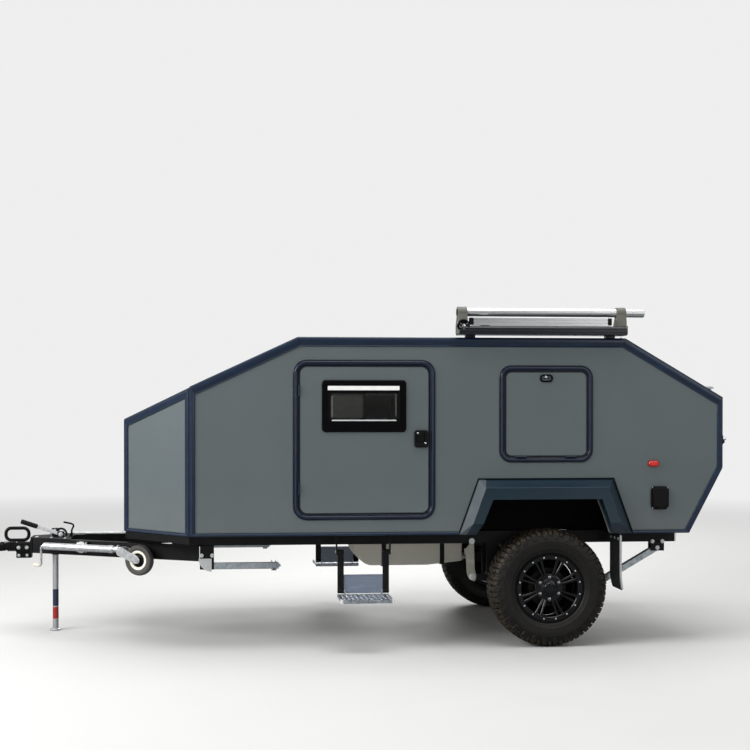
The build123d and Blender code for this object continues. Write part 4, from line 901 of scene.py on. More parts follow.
# Profiles turned about the axle: radius, distance out from the wheel's middle
barrel_profile = [
    (221.5, 95), (220, 96.5), (213, 96), (208, 94), (206.5, 88), (199, 76), (189, 56), (186, 20),
    (190, -30), (199, -82), (205, -88), (214, -89), (220.5, -95), (221.5, -94), (221.5, -90),
    (216, -85), (202, -84), (195, -40), (192.5, 20), (195, 50), (202, 83), (216, 85), (221.5, 90),
]
ring_profile = [
    (212.5, 92.5), (212.5, 98.5), (210.5, 101), (187, 99), (183.5, 96), (181.5, 89), (187, 88),
]
hub_profile = [
    (0, 96), (24, 96), (30, 95), (34, 91.5), (36, 85), (45, 83), (53, 79), (56, 76), (83, 75), (90, 72),
    (92, 66), (92, 52), (0, 52),
]
drum_profile = [
    (0, 30), (115, 30), (122, 28), (125, 24), (125, -20), (130, -23), (130, -30), (125, -32), (0, -32),
]
backing_profile = [(0, -36), (186.5, -36), (188, -38), (188, -48), (0, -48)]
rivet_profile = [(6.2, -3), (6.2, 0), (5.5, 2.2), (3.4, 3.6), (1.2, 4)]
nut_profile = [(12.5, -4), (12.5, 10), (10.5, 13.5), (6, 15), (2, 15.5)]
# Each spoke leg, inner end to outer end: radius, place sideways, half width, front and back
spoke_stations = (
    (80, 8.5, 7.8, 76, 56), (92, 9.5, 7.8, 80, 56), (125, 12.5, 8, 85, 60), (155, 15.5, 8.5, 88, 62),
    (180, 18.5, 10.5, 90, 60), (194, 20, 12.5, 88, 56),
)


def spoke_leg(turn, side):
    """One leg of a split spoke: a bevelled bar that widens where it joins the clamp ring."""
    rows = []
    for radius, sideways, half_width, front, back in spoke_stations:
        bevel = 0.35 * half_width
        across = np.array([-1, -1, -0.65, 0.65, 1, 1]) * half_width + side * sideways
        out = np.array([back, front - bevel, front, front, front - bevel, back])
        rows.append(wheel_point(np.hypot(radius, across), turn + np.arctan2(across, radius), out))
    return skin(np.stack(rows))


def round_axle(profile, count, radius, out, steps):
    """Equal round parts at equal angles about the axle, the first half a step from the front."""
    turns = (np.arange(count) + 0.5) * 2 * pi / count
    return [turned(profile, wheel_point(radius, turn, out), axle_way, steps) for turn in turns]


def on_axle(profile, steps, loop=False):
    """A profile turned about the wheel's axle."""
    return turned(profile, wheel_centre, axle_way, steps, loop)


rim_look = Look(
    "rim paint", rim_black, 0.2, Coat_Weight=0.25, Coat_Roughness=0.06, Specular_IOR_Level=0.2,
)
rim_film = rim_look.noise(26, 5).rise(0.45, 0.85) * 0.06
rim_gloss = rim_look.noise(40, 4) * 0.15 + 0.14 + rim_film
rim_look.finish(rim_film, rim_black, (0.05, 0.05, 0.055), rim_gloss, rim_look.noise(300, 2), 0.0001)
rim_shapes = [on_axle(ring_profile, 96, True), on_axle(hub_profile, 64)]
for spoke in range(spoke_pairs):
    rim_shapes += [spoke_leg((spoke + 0.5) * 2 * pi / spoke_pairs, side) for side in (-1, 1)]
barrel_paint = plastic("rim barrel paint", (0.003, 0.003, 0.0035), 0.45)
iron = plastic("rusty brake iron", (0.014, 0.012, 0.011), 0.6, 160, 0.0005)
# Painted shade: the brake backing and wheel boxes get a near-black, barely reflective finish for the shade
# in the arches.
shadow_black = plastic("arch liner painted shade", (0.0015, 0.0015, 0.0016), 0.7, 60, 0.0006, Specular_IOR_Level=0.08)
nut_look = Look("wheel nuts", (0.3, 0.31, 0.33), 0.25, 1)
nut_steel = nut_look.finish(height=nut_look.noise(300, 3), proud=0.0001)
rivets = round_axle(rivet_profile, rivet_count, rivet_ring, 99.5, 10)
nuts = round_axle(nut_profile, nut_count, nut_ring, 75.5, 6)
pair("rim_body", rim_shapes, rim_look.material, "wheel", "rim", 30)
pair("rim_barrel", [on_axle(barrel_profile, 96, True)], barrel_paint, "wheel", crease=30)
pair("brake_drum", [on_axle(drum_profile, 48)], iron, "wheel")
pair("brake_backing", [on_axle(backing_profile, 64)], shadow_black)
pair("rim_rivets", rivets, bright_steel, "wheel")
pair("wheel_nuts", nuts, nut_steel, "wheel", crease=20)
dress(shadow_black, "wheel_boxes")

# Tail hatch fittings. A navy edge channel and a rubber bulb seal round the hatch, a pull handle
# with a key barrel, level clearance lamps on black wedges, and a toggle latch at each lower side.
hatch_half = 890
hatch_gap = 6
edge_channel = 26
seal_side = hatch_half + 6
pull_z = 1318
latch_y = -924
clearance_y = -800
slope_angle = atan2(roof_z - tail_top, tail_x - roof_rear)
slope_length = hypot(tail_x - roof_rear, roof_z - tail_top)
slope_plane = ((roof_rear, 0, roof_z), (0, 1, 0), (-cos(slope_angle), 0, sin(slope_angle)))
channel_rows = [(0, -6), (0, 1.5), (0.05, 3), (0.94, 3), (1, 2), (1, -3)]
pull_shape = (0, pull_z, 130, 34, 11)
pull_dish = (0, pull_z, 108, 16, 5)
pull_rows = [(0, -1), (0, 9), (0.1, 13), (0.35, 15.5), (0.8, 15.5), (1, 12), (1, 4)]
key_disc = [(0, 4), (6.5, 4), (6.5, 15), (5, 16), (0, 15.2)]
wedge_outline = [(2268, 1650), (2292, 1637), (2352, 1602), (2356, 1634), (2350, 1651), (2276, 1654.5)]
lens_outline = [
    (2278, 1653), (2352, 1649.5), (2366, 1650.5), (2370, 1656), (2364, 1663), (2340, 1667.5), (2286, 1665),
]


def facing_left(y):
    """The plane at y that faces left, drawn along X and Z."""
    return ((0, y, 0), (1, 0, 0), (0, 0, 1))


def facing_back(x, y=0):
    """The plane at x that faces back, drawn along Y, counted from y, and Z."""
    return ((x, y, 0), (0, 1, 0), (0, 0, 1))


def block(low, high, edge=3, plane=((0, 0, 0), (1, 0, 0), (0, 1, 0))):
    """A box between two corners, given along the plane and out of it, with every edge rounded."""
    middle = [(first + second) / 2 for first, second in zip(low, high)]
    size = [abs(second - first) for first, second in zip(low, high)]
    edge = min(edge, *(length * 0.45 for length in size))
    outline = round_box(middle[0], middle[1], size[0], size[1], edge * 1.01, 4)
    return plate(plane, outline, min(low[2], high[2]), max(low[2], high[2]), edge)


def lens_plastic(name, colour, painted_glow):
    """Clear coloured plastic over a reflector: ribbed inside, glossy outside, with a faint painted glow."""
    look = Look(
        name, colour, 0.14, Coat_Weight=0.8, Coat_Roughness=0.05, Emission_Strength=painted_glow,
        Emission_Color=colour,
    )
    ribs = (look.axis("Y") * (2 * pi / 0.006)).maths("SINE") * 0.5 + 0.5
    cells = look.noise(120, 1)
    return look.finish(
        ribs * 0.5 + cells * 0.3, shaded(colour, 0.55), shaded(colour, 1.25),
        height=ribs * 0.6 + cells * 0.4, proud=0.0004,
    )


tail_plane = facing_back(tail_x)
slope_outline = upright(-hatch_half, hatch_half, -slope_length, -hatch_gap)
tail_outline = upright(-hatch_half, hatch_half, tail_low + hatch_gap, tail_top)
hatch_edges = strips(slope_plane, slope_outline, [0] + [edge_channel] * 3, channel_rows)
hatch_edges += strips(tail_plane, tail_outline, [edge_channel] * 2 + [0, edge_channel], channel_rows)
seal_half = [
    (roof_rear + 20, seal_side, roof_z - 20), (tail_x - 4, seal_side, tail_top - 2),
    (tail_x - 4, seal_side, tail_low + 12),
]
bulb_line = seal_half + [(x, -y, z) for x, y, z in seal_half[::-1]]
pull_parts = [
    between(tail_plane, pull_shape, pull_dish, pull_rows, 6),
    plate(tail_plane, round_box(8, pull_z + 1, 76, 10, 4), 4, 16.5, 2),
    plate(tail_plane, round_box(*pull_dish), 0.5, 6),
]
pull_lock = turned(key_disc, (tail_x, -42, pull_z), (1, 0, 0), 20)
clearance_plane = facing_left(clearance_y)
clearance_base = plate(clearance_plane, wedge_outline, -20, 20, 4, 4)
clearance_lens = plate(clearance_plane, lens_outline, -28, 28, 4, 4)
latch_base = [
    plate(tail_plane, round_box(latch_y, pull_z, 30, 60, 6), 0, 16, 3),
    block((tail_x + 10, latch_y - 8, 1296), (tail_x + 28, latch_y + 8, pull_z)),
]
latch_hook = [(22, 6), (20, 30), (13, 44)]
latch_lever = [
    block((tail_x + 12, latch_y - 11, 1316), (tail_x + 37, latch_y + 11, 1336), 5),
    rod([(tail_x + out, latch_y + inward, 1322) for out, inward in latch_hook], 2.8, 8),
]
bulb_seal = plastic("bulb seal", (0.005, 0.005, 0.005), 0.7, 200, 0.0003)
# Every lens has a faint painted glow, though its lamp is not lit.
red_lens = lens_plastic("red lens", (0.6, 0.012, 0.01), 0.05)
amber_lens = lens_plastic("amber lens", (0.78, 0.22, 0.01), 0.03)
clear_lens = lens_plastic("clear lens", (0.55, 0.56, 0.57), 0.02)
build("tail_hatch_edge", hatch_edges, moulding_paint, "tail_hatch")
build("tail_hatch_seal", [rod(bulb_line, 5.5, 10)], bulb_seal)
build("tail_pull_handle", pull_parts, black_satin, "tail_hatch", ["tail_hatch_handle"])
build("tail_key_barrel", [pull_lock], bright_steel, "tail_hatch")
build("clearance_lamp_bases", both([clearance_base]), black_gloss, "tail_hatch")
build("clearance_lenses", both([clearance_lens]), clear_lens, "tail_hatch")
build("tail_latch_bases", both(latch_base), black_satin)
build("tail_latch_levers", both(latch_lever), bright_steel)

# Rear and side lamps. On the lower chamfer a black housing each side holds red, amber and clear
# lenses, with a blank number plate and its small lamp between; an oval red marker is on each wall.
lamp_middle = -720
chamfer_angle = atan2(tail_low - floor_z, tail_x - tail_floor)
chamfer_middle = ((tail_floor + tail_x) / 2, 0, (floor_z + tail_low) / 2)
chamfer_plane = (chamfer_middle, (0, 1, 0), (cos(chamfer_angle), 0, sin(chamfer_angle)))
marker_place = (1920, 1168)
holder_shape = (0, 0, 540, 130, 10)
plate_shape = (0, 0, 508, 102, 4)
holder_rows = [(0, -1), (0, 7), (0.15, 10), (0.85, 10), (1, 7), (1, -1)]
lamp_housing = plate(chamfer_plane, round_box(lamp_middle, 0, 300, 90, 25), -1, 17, 4, 4)
marker_base = plate(left_plane, round_box(*marker_place, 77, 44, 21.9, 10), 0, 9, 3)
marker_lens = plate(left_plane, round_box(*marker_place, 64, 32, 15.8, 10), 4, 19.5, 7, 6)
lenses = {"red": [marker_lens], "amber": [], "clear": []}
lens_table = (("red", -88, 100), ("amber", -5, 58), ("clear", 51, 46), ("red", 104, 52))
for lens_name, middle, length in lens_table:
    lens_box = round_box(lamp_middle + middle, 0, length, 70, 12)
    lenses[lens_name].append(plate(chamfer_plane, lens_box, 12, 24.5, 4, 4))
holder = between(chamfer_plane, holder_shape, plate_shape, holder_rows)
plate_lamp = plate(chamfer_plane, round_box(0, 85, 110, 30, 8), -1, 24, 6)
plate_sheet = plate(chamfer_plane, round_box(*plate_shape), 0.5, 4)
marker_rim = plastic("marker rim", (0.22, 0.012, 0.01), 0.3, 200, 0.0001)
blank_plate = plastic("blank plate", (0.72, 0.72, 0.68), 0.35, 120, 0.00005)
build("rear_lamp_housings", both([lamp_housing]), black_satin, replaces=["lamps"])
build("marker_bases", both([marker_base]), marker_rim)
for lens_name, lens_look in (("red", red_lens), ("amber", amber_lens), ("clear", clear_lens)):
    build(f"{lens_name}_lenses", both(lenses[lens_name]), lens_look)
build("plate_holder", [holder, plate_lamp], black_satin)
build("number_plate_blank", [plate_sheet], blank_plate)

# Power inlet. A black weatherproof box of moulded plastic, screwed to the wall at its corners,
# with a raised lid on a round hinge along its top and a latch lip below.
inlet_shapes = [
    plate(left_plane, round_box(1962, 947, 118, 150, 28), 0, 14, 4, 4),
    plate(left_plane, round_box(1962, 950, 98, 124, 20), 10, 29.5, 6, 4),
    plate(left_plane, round_box(1962, 884, 34, 12, 4), 10, 30, 2),
    turned(rounded_pin(4.5, 70, 1), (1927, -half - 21.5, 1014), (1, 0, 0), 12),
]
inlet_screws = [screw(left_plane, (x, z), 13.8, 3.5) for x in (1912, 2012) for z in (882, 1012)]
build("inlet_box", inlet_shapes, black_satin, replaces=["power_inlet"])
build("inlet_screws", inlet_screws, bright_steel)

# Awning. A dark aluminium case on two roof feet carries the silver roller, whose cast ends also
# hold the flat folding arm; a round pivot boss with a bright hub stands on the front casting.
awning_start = 640
awning_end = 1728
awning_out = -1030
awning_in = -905
case_low = 1985
case_top = 2042
roller_y = -960
roller_z = 2130
casting_length = 62
casting_round = 36
arm_face = -1020
boss_y = -1008
pin_ring = 22
silver_light = (0.68, 0.69, 0.7)
silver_dark = (0.5, 0.51, 0.52)
# Outlines drawn in Y and Z, anticlockwise from the rear
case_outline = [
    (awning_out + 6, case_low), (awning_in - 4, case_low), (awning_in, case_low + 4),
    (awning_in, case_top - 4), (awning_in - 4, case_top), (awning_out + 14, case_top),
]
case_front = ((5, 6), (1, 15), (4, 17), (4, 21), (0, 23))
case_foot = ((0, 20), (3, 18), (3, 14), (0, 12), (0, 6))
case_outline += [(awning_out + out, case_top - down) for out, down in case_front]
case_outline += [(awning_out + out, case_low + rise) for out, rise in case_foot]
hull_turn = np.radians(np.linspace(-50, 205, 18))
casting_outline = [(-1006, case_top - 8), (-909, case_top - 8), (-909, case_top + 12)]
casting_outline += [
    (roller_y + casting_round * cos(angle), roller_z + casting_round * sin(angle)) for angle in hull_turn
]
casting_outline += [(-1006, case_top + 30)]
arm_outline = [(arm_face + 1, 2044), (-1009, 2044), (-1008, 2045), (-1008, 2095), (-1009, 2096)]
arm_outline += [(arm_face + 1, 2096), (arm_face, 2095)]
groove_section = ((0, 0), (1.6, 1.5), (1.6, 3.5), (0, 5))
for groove in (2081.5, 2063.5):
    arm_outline += [(arm_face + deep, groove - down) for deep, down in groove_section]
arm_outline.append((arm_face, 2045))
# Profiles turned about the boss's axle and the roller's: radius, distance along
boss_profile = [
    (0, -4), (40, -4), (41, 2), (41, 15), (38, 19.5), (30, 20.5), (27, 17), (17, 16.5), (15, 19), (0, 19),
]
boss_bolt = [(0, 17), (11.5, 17), (11.5, 20.5), (8.5, 21.8), (0, 21.5)]
boss_pin = [(0, 15), (3, 15), (3, 18.5), (0, 19.2)]
roller_profile = [
    (0, 0), (24, 0), (26.5, 2.5), (26.5, 70), (24.5, 71.5), (24.5, 73.5), (26.8, 75), (26.8, 1130),
    (24.5, 1131.5), (24.5, 1133.5), (27, 1135), (27, 1207), (25, 1210), (0, 1210),
]


def extrusion(outline, start, end, edge=1.5):
    """A bar of an outline drawn in Y and Z, from X start to end."""
    return plate(facing_back(0), outline, start, end, edge)


case_shapes = [extrusion(case_outline, awning_start + 4, awning_end - 4, 0.5)]
for foot_x in (700, 1608):
    foot_end = foot_x + 60
    case_shapes.append(block((foot_x, -half, roof_z + 6), (foot_end, awning_in, case_low), 2))
    case_shapes.append(block((foot_x, awning_in - 12, roof_z + 6), (foot_end, awning_in, case_low + 30), 2))
castings = [
    extrusion(casting_outline, start, start + casting_length, 5)
    for start in (awning_start, awning_end - casting_length)
]
for start in (awning_start, awning_end - 10):
    low_corner = (start, awning_out + 3, case_top - 50)
    castings.append(block(low_corner, (start + 10, awning_in - 2, case_top + 4)))
boss_centre = (awning_start + casting_length / 2, boss_y, case_top)
hub_bolts = [turned(boss_bolt, boss_centre, (0, -1, 0), 6)]
for place in range(3):
    angle = place * 2 * pi / 3 + 0.5
    pin_centre = (boss_centre[0] + pin_ring * cos(angle), boss_y, case_top + pin_ring * sin(angle))
    hub_bolts.append(turned(boss_pin, pin_centre, (0, -1, 0), 10))
silver_shapes = [
    turned(roller_profile, (awning_start, roller_y, roller_z), (1, 0, 0), 36),
    extrusion(arm_outline, 722, 1612, 0.5),
    block((782, -1009, case_top), (842, -996, 2096), 2),
]
arm_ends = [block((low, -1022, 2047), (high, -1004, 2093), 4) for low, high in ((706, 736), (1598, 1626))]
case_paint = rolled_paint("awning case paint", (0.004, 0.007, 0.01), 0.4, 0.25)
casting_look = Look("awning casting", (0.105, 0.103, 0.088), 0.5)
casting_look.finish(
    casting_look.noise(30, 5), (0.085, 0.084, 0.072), (0.135, 0.132, 0.115),
    height=casting_look.noise(420, 3), proud=0.0004,
)
silver = Look("silver anodising", silver_dark, 0.3, 1)
streaks = silver.noise(60, 5, stretch=(0.03, 1, 1))
drawn_lines = silver.noise(300, 3, stretch=(0.02, 1, 1))
silver.finish(streaks, silver_dark, silver_light, streaks * 0.2 + 0.22, drawn_lines, 0.00012)
build("awning_case", case_shapes, case_paint, replaces=["awning_base"])
build("awning_castings", castings, casting_look.material)
build("awning_boss", [turned(boss_profile, boss_centre, (0, -1, 0), 40)], black_gloss)
build("awning_hub_bolts", hub_bolts, bright_steel)
build("awning_roller", silver_shapes, silver.material, replaces=["awning_bars"])
build("awning_arm_knuckles", arm_ends, black_satin)

# Chassis. Welded rectangular steel tube and plate, cut square, with rounded edges under black
# satin paint: the rails, cross members, drawbar arms with their gusset, skirt and brackets.
chassis_black = (0.004, 0.004, 0.005)
chassis_dirt = (0.13, 0.12, 0.1)
tube_edge = 0.0025
panel_edge = 0.002
rail_y = -675
arm_angle = atan2(620, 1135)
arm_way = np.array([cos(arm_angle), -sin(arm_angle), 0])
arm_outward = np.array([-sin(arm_angle), -cos(arm_angle), 0])
arm_front = np.array([-2120, -55, 0])
chassis_nodes = ["chassis_rails", "cross_members", "drawbar", "nose_skirt", "steady_brackets"]
chassis_nodes += ["suspension_hangers", "step_brackets", "trailing_arms"]
chassis_look = Look("chassis paint", chassis_black, 0.42, Specular_IOR_Level=0.15, Coat_Weight=0.05)
high_up = chassis_look.axis("Z").rise(0.35, 0.75)
chassis_dust = chassis_look.noise(12, 6).rise(0.4, 0.85) * (1 - high_up * 0.6) * 0.06
chassis_gloss = chassis_look.noise(35, 4) * 0.25 + 0.28 + chassis_dust
chassis_paint = chassis_look.finish(
    chassis_dust, chassis_black, chassis_dirt, chassis_gloss, chassis_look.noise(380, 3), 0.0003,
)
zinc = Look("zinc plate", (0.55, 0.56, 0.57), 0.4, 0.9)
zinc_cloud = zinc.noise(45, 4).rise(0.35, 0.7)
zinc_plate = zinc.finish(
    zinc_cloud, silver_dark, (0.74, 0.75, 0.76), zinc_cloud * 0.18 + 0.28, zinc.noise(260, 3), 0.0002,
)
white_look = Look("white zinc", (0.66, 0.67, 0.68), 0.3, 0.8)
white_zinc = white_look.finish(
    roughness=white_look.noise(80, 3) * 0.15 + 0.24, height=white_look.noise(320, 2),
    proud=0.0001,
)


def soften(width, *names):
    """Rounds the edges of CAD nodes with modifiers, so that their own meshes stay as they are."""
    for name in names:
        weld = nodes[name].modifiers.new("weld", "WELD")
        weld.merge_threshold = 1e-5
        bevel = nodes[name].modifiers.new("edge", "BEVEL")
        bevel.width = width
        bevel.segments = 2
        bevel.limit_method = "ANGLE"
        bevel.angle_limit = radians(40)
        bevel.harden_normals = True
        bevel.use_clamp_overlap = True


def bolt(place, way, radius=9, height=6, washer=1.55):
    """A hexagon head on a round washer, standing on a face whose outward direction is way."""
    disc = [(0, -2), (radius * washer, -2), (radius * washer, 1.2), (0, 1.6)]
    head = [(0, 1), (radius, 1), (radius, height * 0.8), (radius * 0.85, height), (0, height)]
    return [turned(disc, place, way, 16), turned(head, place, way, 6)]


def weld_bead(start, end, steps, side, radius=4.5):
    """A weld run on one side (1 left, -1 right): a rod of so many steps, wide and narrow in turn,
    so that it reads as laid beads."""
    start, end = np.multiply((start, end), (1, side, 1))
    line = start + np.linspace(0, 1, steps)[:, None] * (end - start)
    way = unit(end - start)
    second = unit(np.cross(way, (0.3, 0.4, 0.86)))
    third = np.cross(way, second)
    angle = np.linspace(0, 2 * pi, 7, endpoint=False)[None, :, None]
    size = radius * (1 + 0.16 * np.cos(np.arange(steps) * pi))[:, None, None]
    return skin(line[:, None] + size * (np.cos(angle) * second + np.sin(angle) * third))


dress(chassis_paint, *chassis_nodes)
soften(tube_edge, *chassis_nodes)
soften(panel_edge, *cabin_leaves, *cabin_walls)
weld_lines = [
    ((place + end, -648, 645), (place + end, -648, 715), 11)
    for place in (-1125, -400, 925, 1690, 2090) for end in (-25, 25)
]
weld_lines.append((arm_front + (-1, -30, 545), arm_front + (-1, -30, 636), 15))
for distance, steps in ((1020, 14), (1240, 15)):
    weld_start = arm_front + distance * arm_way + 27 * arm_outward + (0, 0, 640)
    weld_lines.append((weld_start, weld_start + 90 * arm_way, steps))
frame_welds = [weld_bead(*line, side) for side in (1, -1) for line in weld_lines]
frame_bolts = []
for distance in (36, 156, 264):
    frame_bolts += bolt(arm_front + distance * arm_way + (0, 0, 646), (0, 0, 1))
build("frame_welds", frame_welds, chassis_paint, crease=60)
build("frame_bolts", both(frame_bolts), zinc_plate)
rail_ends = (("front", -1150, -1, black_satin), ("rear", 2152, 1, white_case))
for end_name, plug_x, out, plug_plastic in rail_ends:
    plug = block((plug_x - 2 * out, -652, 642), (plug_x + 9 * out, -701, 718))
    build(f"rail_plugs_{end_name}", both([plug]), plug_plastic)

# Coupler. A cast ball head on a square bar with a ribbed rubber gaiter, a bolted steel housing
# that carries the overrun damper, and a bent round bar as the loop handle above it.
socket_x = -2345
rib_y = -31
loop_corner = 36
loop_half_x = 77
loop_half_z = 41
loop_radius = 11.5
loop_centre = np.array([-2228, 0, 661])
head_profile = [
    (25.4, 550), (30, 548.5), (41, 550), (45, 555), (45, 580), (42.5, 592), (35, 601), (22, 606), (0, 607),
    (0, 590), (15, 588), (23.5, 581), (25.4, 570),
]
rib_outline = [(-2335, 572), (-2300, 572), (-2245, 603), (-2300, 603), (-2340, 592)]
release_line = [(-2350, 0, 604), (-2335, 0, 610.5), (-2312, 0, 611.5), (-2296, 0, 608.5)]
gaiter_profile = [(27, 0)]
for fold in range(5):
    start = 4 + fold * 11
    gaiter_profile += [
        (radius, start + on) for radius, on in ((29, 0), (33.5, 3), (34.5, 5), (33.5, 7), (29, 10))
    ]
gaiter_profile.append((27, 60))
coupler_shapes = [
    turned(head_profile, (socket_x, 0, 0), (0, 0, 1), 40, loop=True),
    block((socket_x + 30, -30, 553), (-2128, 30, 603), 10),
    block((-2235, -45, 541), (-2129, 45, 606), 7),
    block((-2233, -30, 500), (-2129, 30, 545), 6),
    block((-2139, -43, 520), (-2130, 43, 626)),
]
coupler_shapes += both([plate(facing_left(rib_y), rib_outline, -3, 3)])
loop_line = []
for side_x, side_z, first in ((1, 1, 0), (-1, 1, 90), (-1, -1, 180), (1, -1, 270)):
    corner = loop_centre + (side_x * (loop_half_x - loop_corner), 0, side_z * (loop_half_z - loop_corner))
    loop_line.append(arc(corner, loop_corner, first, first + 90, "y", 7))
loop_line = np.concatenate(loop_line)
loop_way = unit(np.roll(loop_line, -1, axis=0) - np.roll(loop_line, 1, axis=0))
loop_side = np.cross(loop_way, (0, 1, 0))
loop_angle = np.linspace(0, 2 * pi, 12, endpoint=False)[:, None, None]
loop_round = np.cos(loop_angle) * loop_side + np.sin(loop_angle) * np.array([0, 1, 0])
coupler_bolts = []
for bolt_x in (-2215, -2160):
    coupler_bolts += bolt((bolt_x, -45, 573), (0, -1, 0), 8, 7)
    coupler_bolts += bolt((bolt_x, -30, 519), (0, -1, 0), 6.5, 5)
gaiter = turned(gaiter_profile, (-2297, 0, 577), (1, 0, 0), 32)
iron_black = plastic("black casting", (0.003, 0.003, 0.0035), 0.4, 240, 0.0005)
build("coupler_casting", coupler_shapes, iron_black, replaces=["coupler"], crease=30)
build("coupler_loop", [skin(loop_line + loop_radius * loop_round, loop=True)], iron_black)
build("coupler_gaiter", [gaiter], rubber)
build("coupler_bolts", both(coupler_bolts), zinc_plate)
build("coupler_release", [rod(release_line, 6, 10)], zinc_plate)

# Brake gear. A flat lever with a ribbed rubber grip pivots on a bracket over a toothed quadrant,
# and pulls a galvanised rod that runs back between the drawbar arms to the first cross member.
lever_y = -60
lever_pivot = np.array([-1929, lever_y, 664])
lever_tip = np.array([-2193, lever_y, 752])
lever_way = unit(lever_tip - lever_pivot)
lever_plane = (lever_pivot, lever_way, np.cross((0, 1, 0), lever_way))
lever_length = float(np.linalg.norm(lever_tip - lever_pivot))
quadrant_inner = 30
tooth_low = 42
tooth_high = 46
brake_rod_y = 42
brake_rod_z = 662
spring_turns = 9
spring_radius = 10.5
lever_outline = round_box(lever_length / 2 - 20, 0, lever_length + 10, 24, 11.8, 8)
teeth = [
    (tooth_high if place % 2 else tooth_low, angle)
    for place, angle in enumerate(np.radians(np.linspace(-20, 200, 33)))
]
hollow = [(quadrant_inner, angle) for angle in np.radians(np.linspace(200, -20, 16))]
quadrant = [(reach * cos(angle), reach * sin(angle)) for reach, angle in teeth + hollow]
lever_shapes = [
    plate((lever_pivot, (-1, 0, 0), (0, 0, 1)), quadrant, 8, 13, 0.6),
    block((-1955, lever_y - 24, 646), (-1903, lever_y + 24, 651), 1.5),
]
pivot_bolts = []
for side in (-1, 1):
    ear_y = lever_y + 16 * side
    lever_shapes.append(block((-1951, ear_y - 3, 647), (-1907, ear_y + 3, 682), 2))
    pivot_bolts += bolt(lever_pivot + (0, 19 * side, 0), (0, side, 0), 10, 8)
grip_profile = [(0, -4), (12, -4), (15, 0)]
for start in np.arange(9) * 11 + 6:
    grip_profile += [(15.5, start), (16.8, start + 2), (16.8, start + 6), (15.5, start + 8)]
grip_profile += [(16, 108), (12, 113), (0, 114)]
spring_share = np.linspace(0, 1, spring_turns * 12)
spring_turn = 2 * pi * spring_turns * spring_share
spring_line = np.stack([
    -1900 + 120 * spring_share, brake_rod_y + spring_radius * np.cos(spring_turn),
    brake_rod_z - 0.5 + spring_radius * np.sin(spring_turn),
], axis=-1)
brake_shapes = [
    rod([(-2000, brake_rod_y, brake_rod_z), (-1151, brake_rod_y, brake_rod_z)], 7.5, 14),
    rod(spring_line, 1.8, 6),
    block((-2008, brake_rod_y - 6, 644), (-1992, brake_rod_y + 6, 664), 2),
]
for start in (-2015, -1185):
    fork_low = (start, brake_rod_y - 9, brake_rod_z - 9)
    brake_shapes.append(block(fork_low, (start + 34, brake_rod_y + 9, brake_rod_z + 9), 2))
release_bar = [(-1861, 646), (-1858, 690), (-1846, 716), (-1849, 727), (-1862, 733), (-1914, 744)]
release_foot = [(0, 0), (17, 0), (17, 5), (10, 8), (10, 20), (0, 22)]
release_shapes = [
    rod([(x, -30, z) for x, z in release_bar], 6.2, 12),
    turned(release_foot, (-1861, -30, 645.5), (0, 0, 1), 24),
]
lever_bar = plate(lever_plane, lever_outline, -5, 5, 1.5)
grip = turned(grip_profile, lever_tip - lever_way * 110, lever_way, 24)
build("handbrake_lever_bar", [lever_bar], zinc_plate)
build("handbrake_bar", lever_shapes, chassis_paint, replaces=["handbrake_lever"])
build("handbrake_grip", [grip], rubber)
build("brake_pivot_bolts", pivot_bolts, zinc_plate)
build("brake_rod", brake_shapes, white_zinc)
build("clamp_release_handle", release_shapes, iron_black)

# Front prop leg. A galvanised tube that slides in a painted sleeve through the gusset, with a
# clamp bolt, a navy band and a red band near its foot, and a pressed round foot plate.
prop_x = -1971
prop_radius = 20
band_edge = 0.001
red_ends = (80, 160)
navy_ends = (168, 282)
leg_profile = [(0, 6), (prop_radius, 6)]
for band_z in red_ends + navy_ends:
    leg_profile += [(prop_radius, band_z - 0.4), (prop_radius - 0.7, band_z), (prop_radius, band_z + 0.4)]
leg_profile += [(prop_radius, 684), (prop_radius - 3, 690), (0, 690)]
foot_profile = [(0, 0), (36, 0), (38, 2), (38, 6), (36, 8.5), (30, 10), (26, 14), (21, 16), (0, 16)]
sleeve_profile = [
    (20.5, 522), (24, 520), (25.5, 522), (25.5, 530), (27, 532), (27, 545), (25.5, 547), (25.5, 676),
    (27.5, 678), (27.5, 696), (25, 700), (20.5, 699),
]
prop_shapes = [
    turned(leg_profile, (prop_x, 0, 0), (0, 0, 1)),
    turned(foot_profile, (prop_x, 0, 0), (0, 0, 1), 40),
]
leg_look = Look("prop leg", (0.55, 0.56, 0.57), 0.36, 0.9)


def painted_band(ends):
    """1 between two heights of the leg and 0 elsewhere."""
    low, high = (end * mm for end in ends)
    leg_z = leg_look.axis("Z")
    return leg_z.rise(low, low + band_edge) - leg_z.rise(high, high + band_edge)


navy_band = painted_band(navy_ends)
red_band = painted_band(red_ends)
leg_cloud = leg_look.noise(60, 4)
leg_metal = leg_look.mix(leg_cloud, (0.42, 0.43, 0.44), (0.62, 0.63, 0.64))
leg_navy = leg_look.mix(navy_band, leg_metal, (0.01, 0.016, 0.05))
leg_look.set("Metallic", 0.9 - (navy_band + red_band).maths("MINIMUM", 1) * 0.9)
leg_look.finish(
    red_band, leg_navy, (0.28, 0.012, 0.01), leg_cloud * 0.2 + 0.26, leg_look.noise(300, 3), 0.00015,
)
build("prop_tube", prop_shapes, leg_look.material, "prop_leg", ["prop_leg"])

# Jockey wheel. A galvanised tube on a pivoting clamp outside the left drawbar arm, stowed along
# it, with a screw stem, a bent crank and a forked castor whose rubber tyre runs on a pale rim.
jockey_plane = (arm_front + 80 * arm_outward, arm_way, (0, 0, 1))
jockey_z = 598
clamp_at = 430
tube_start = 156
crank_low = 468
castor_at = (895, 536)
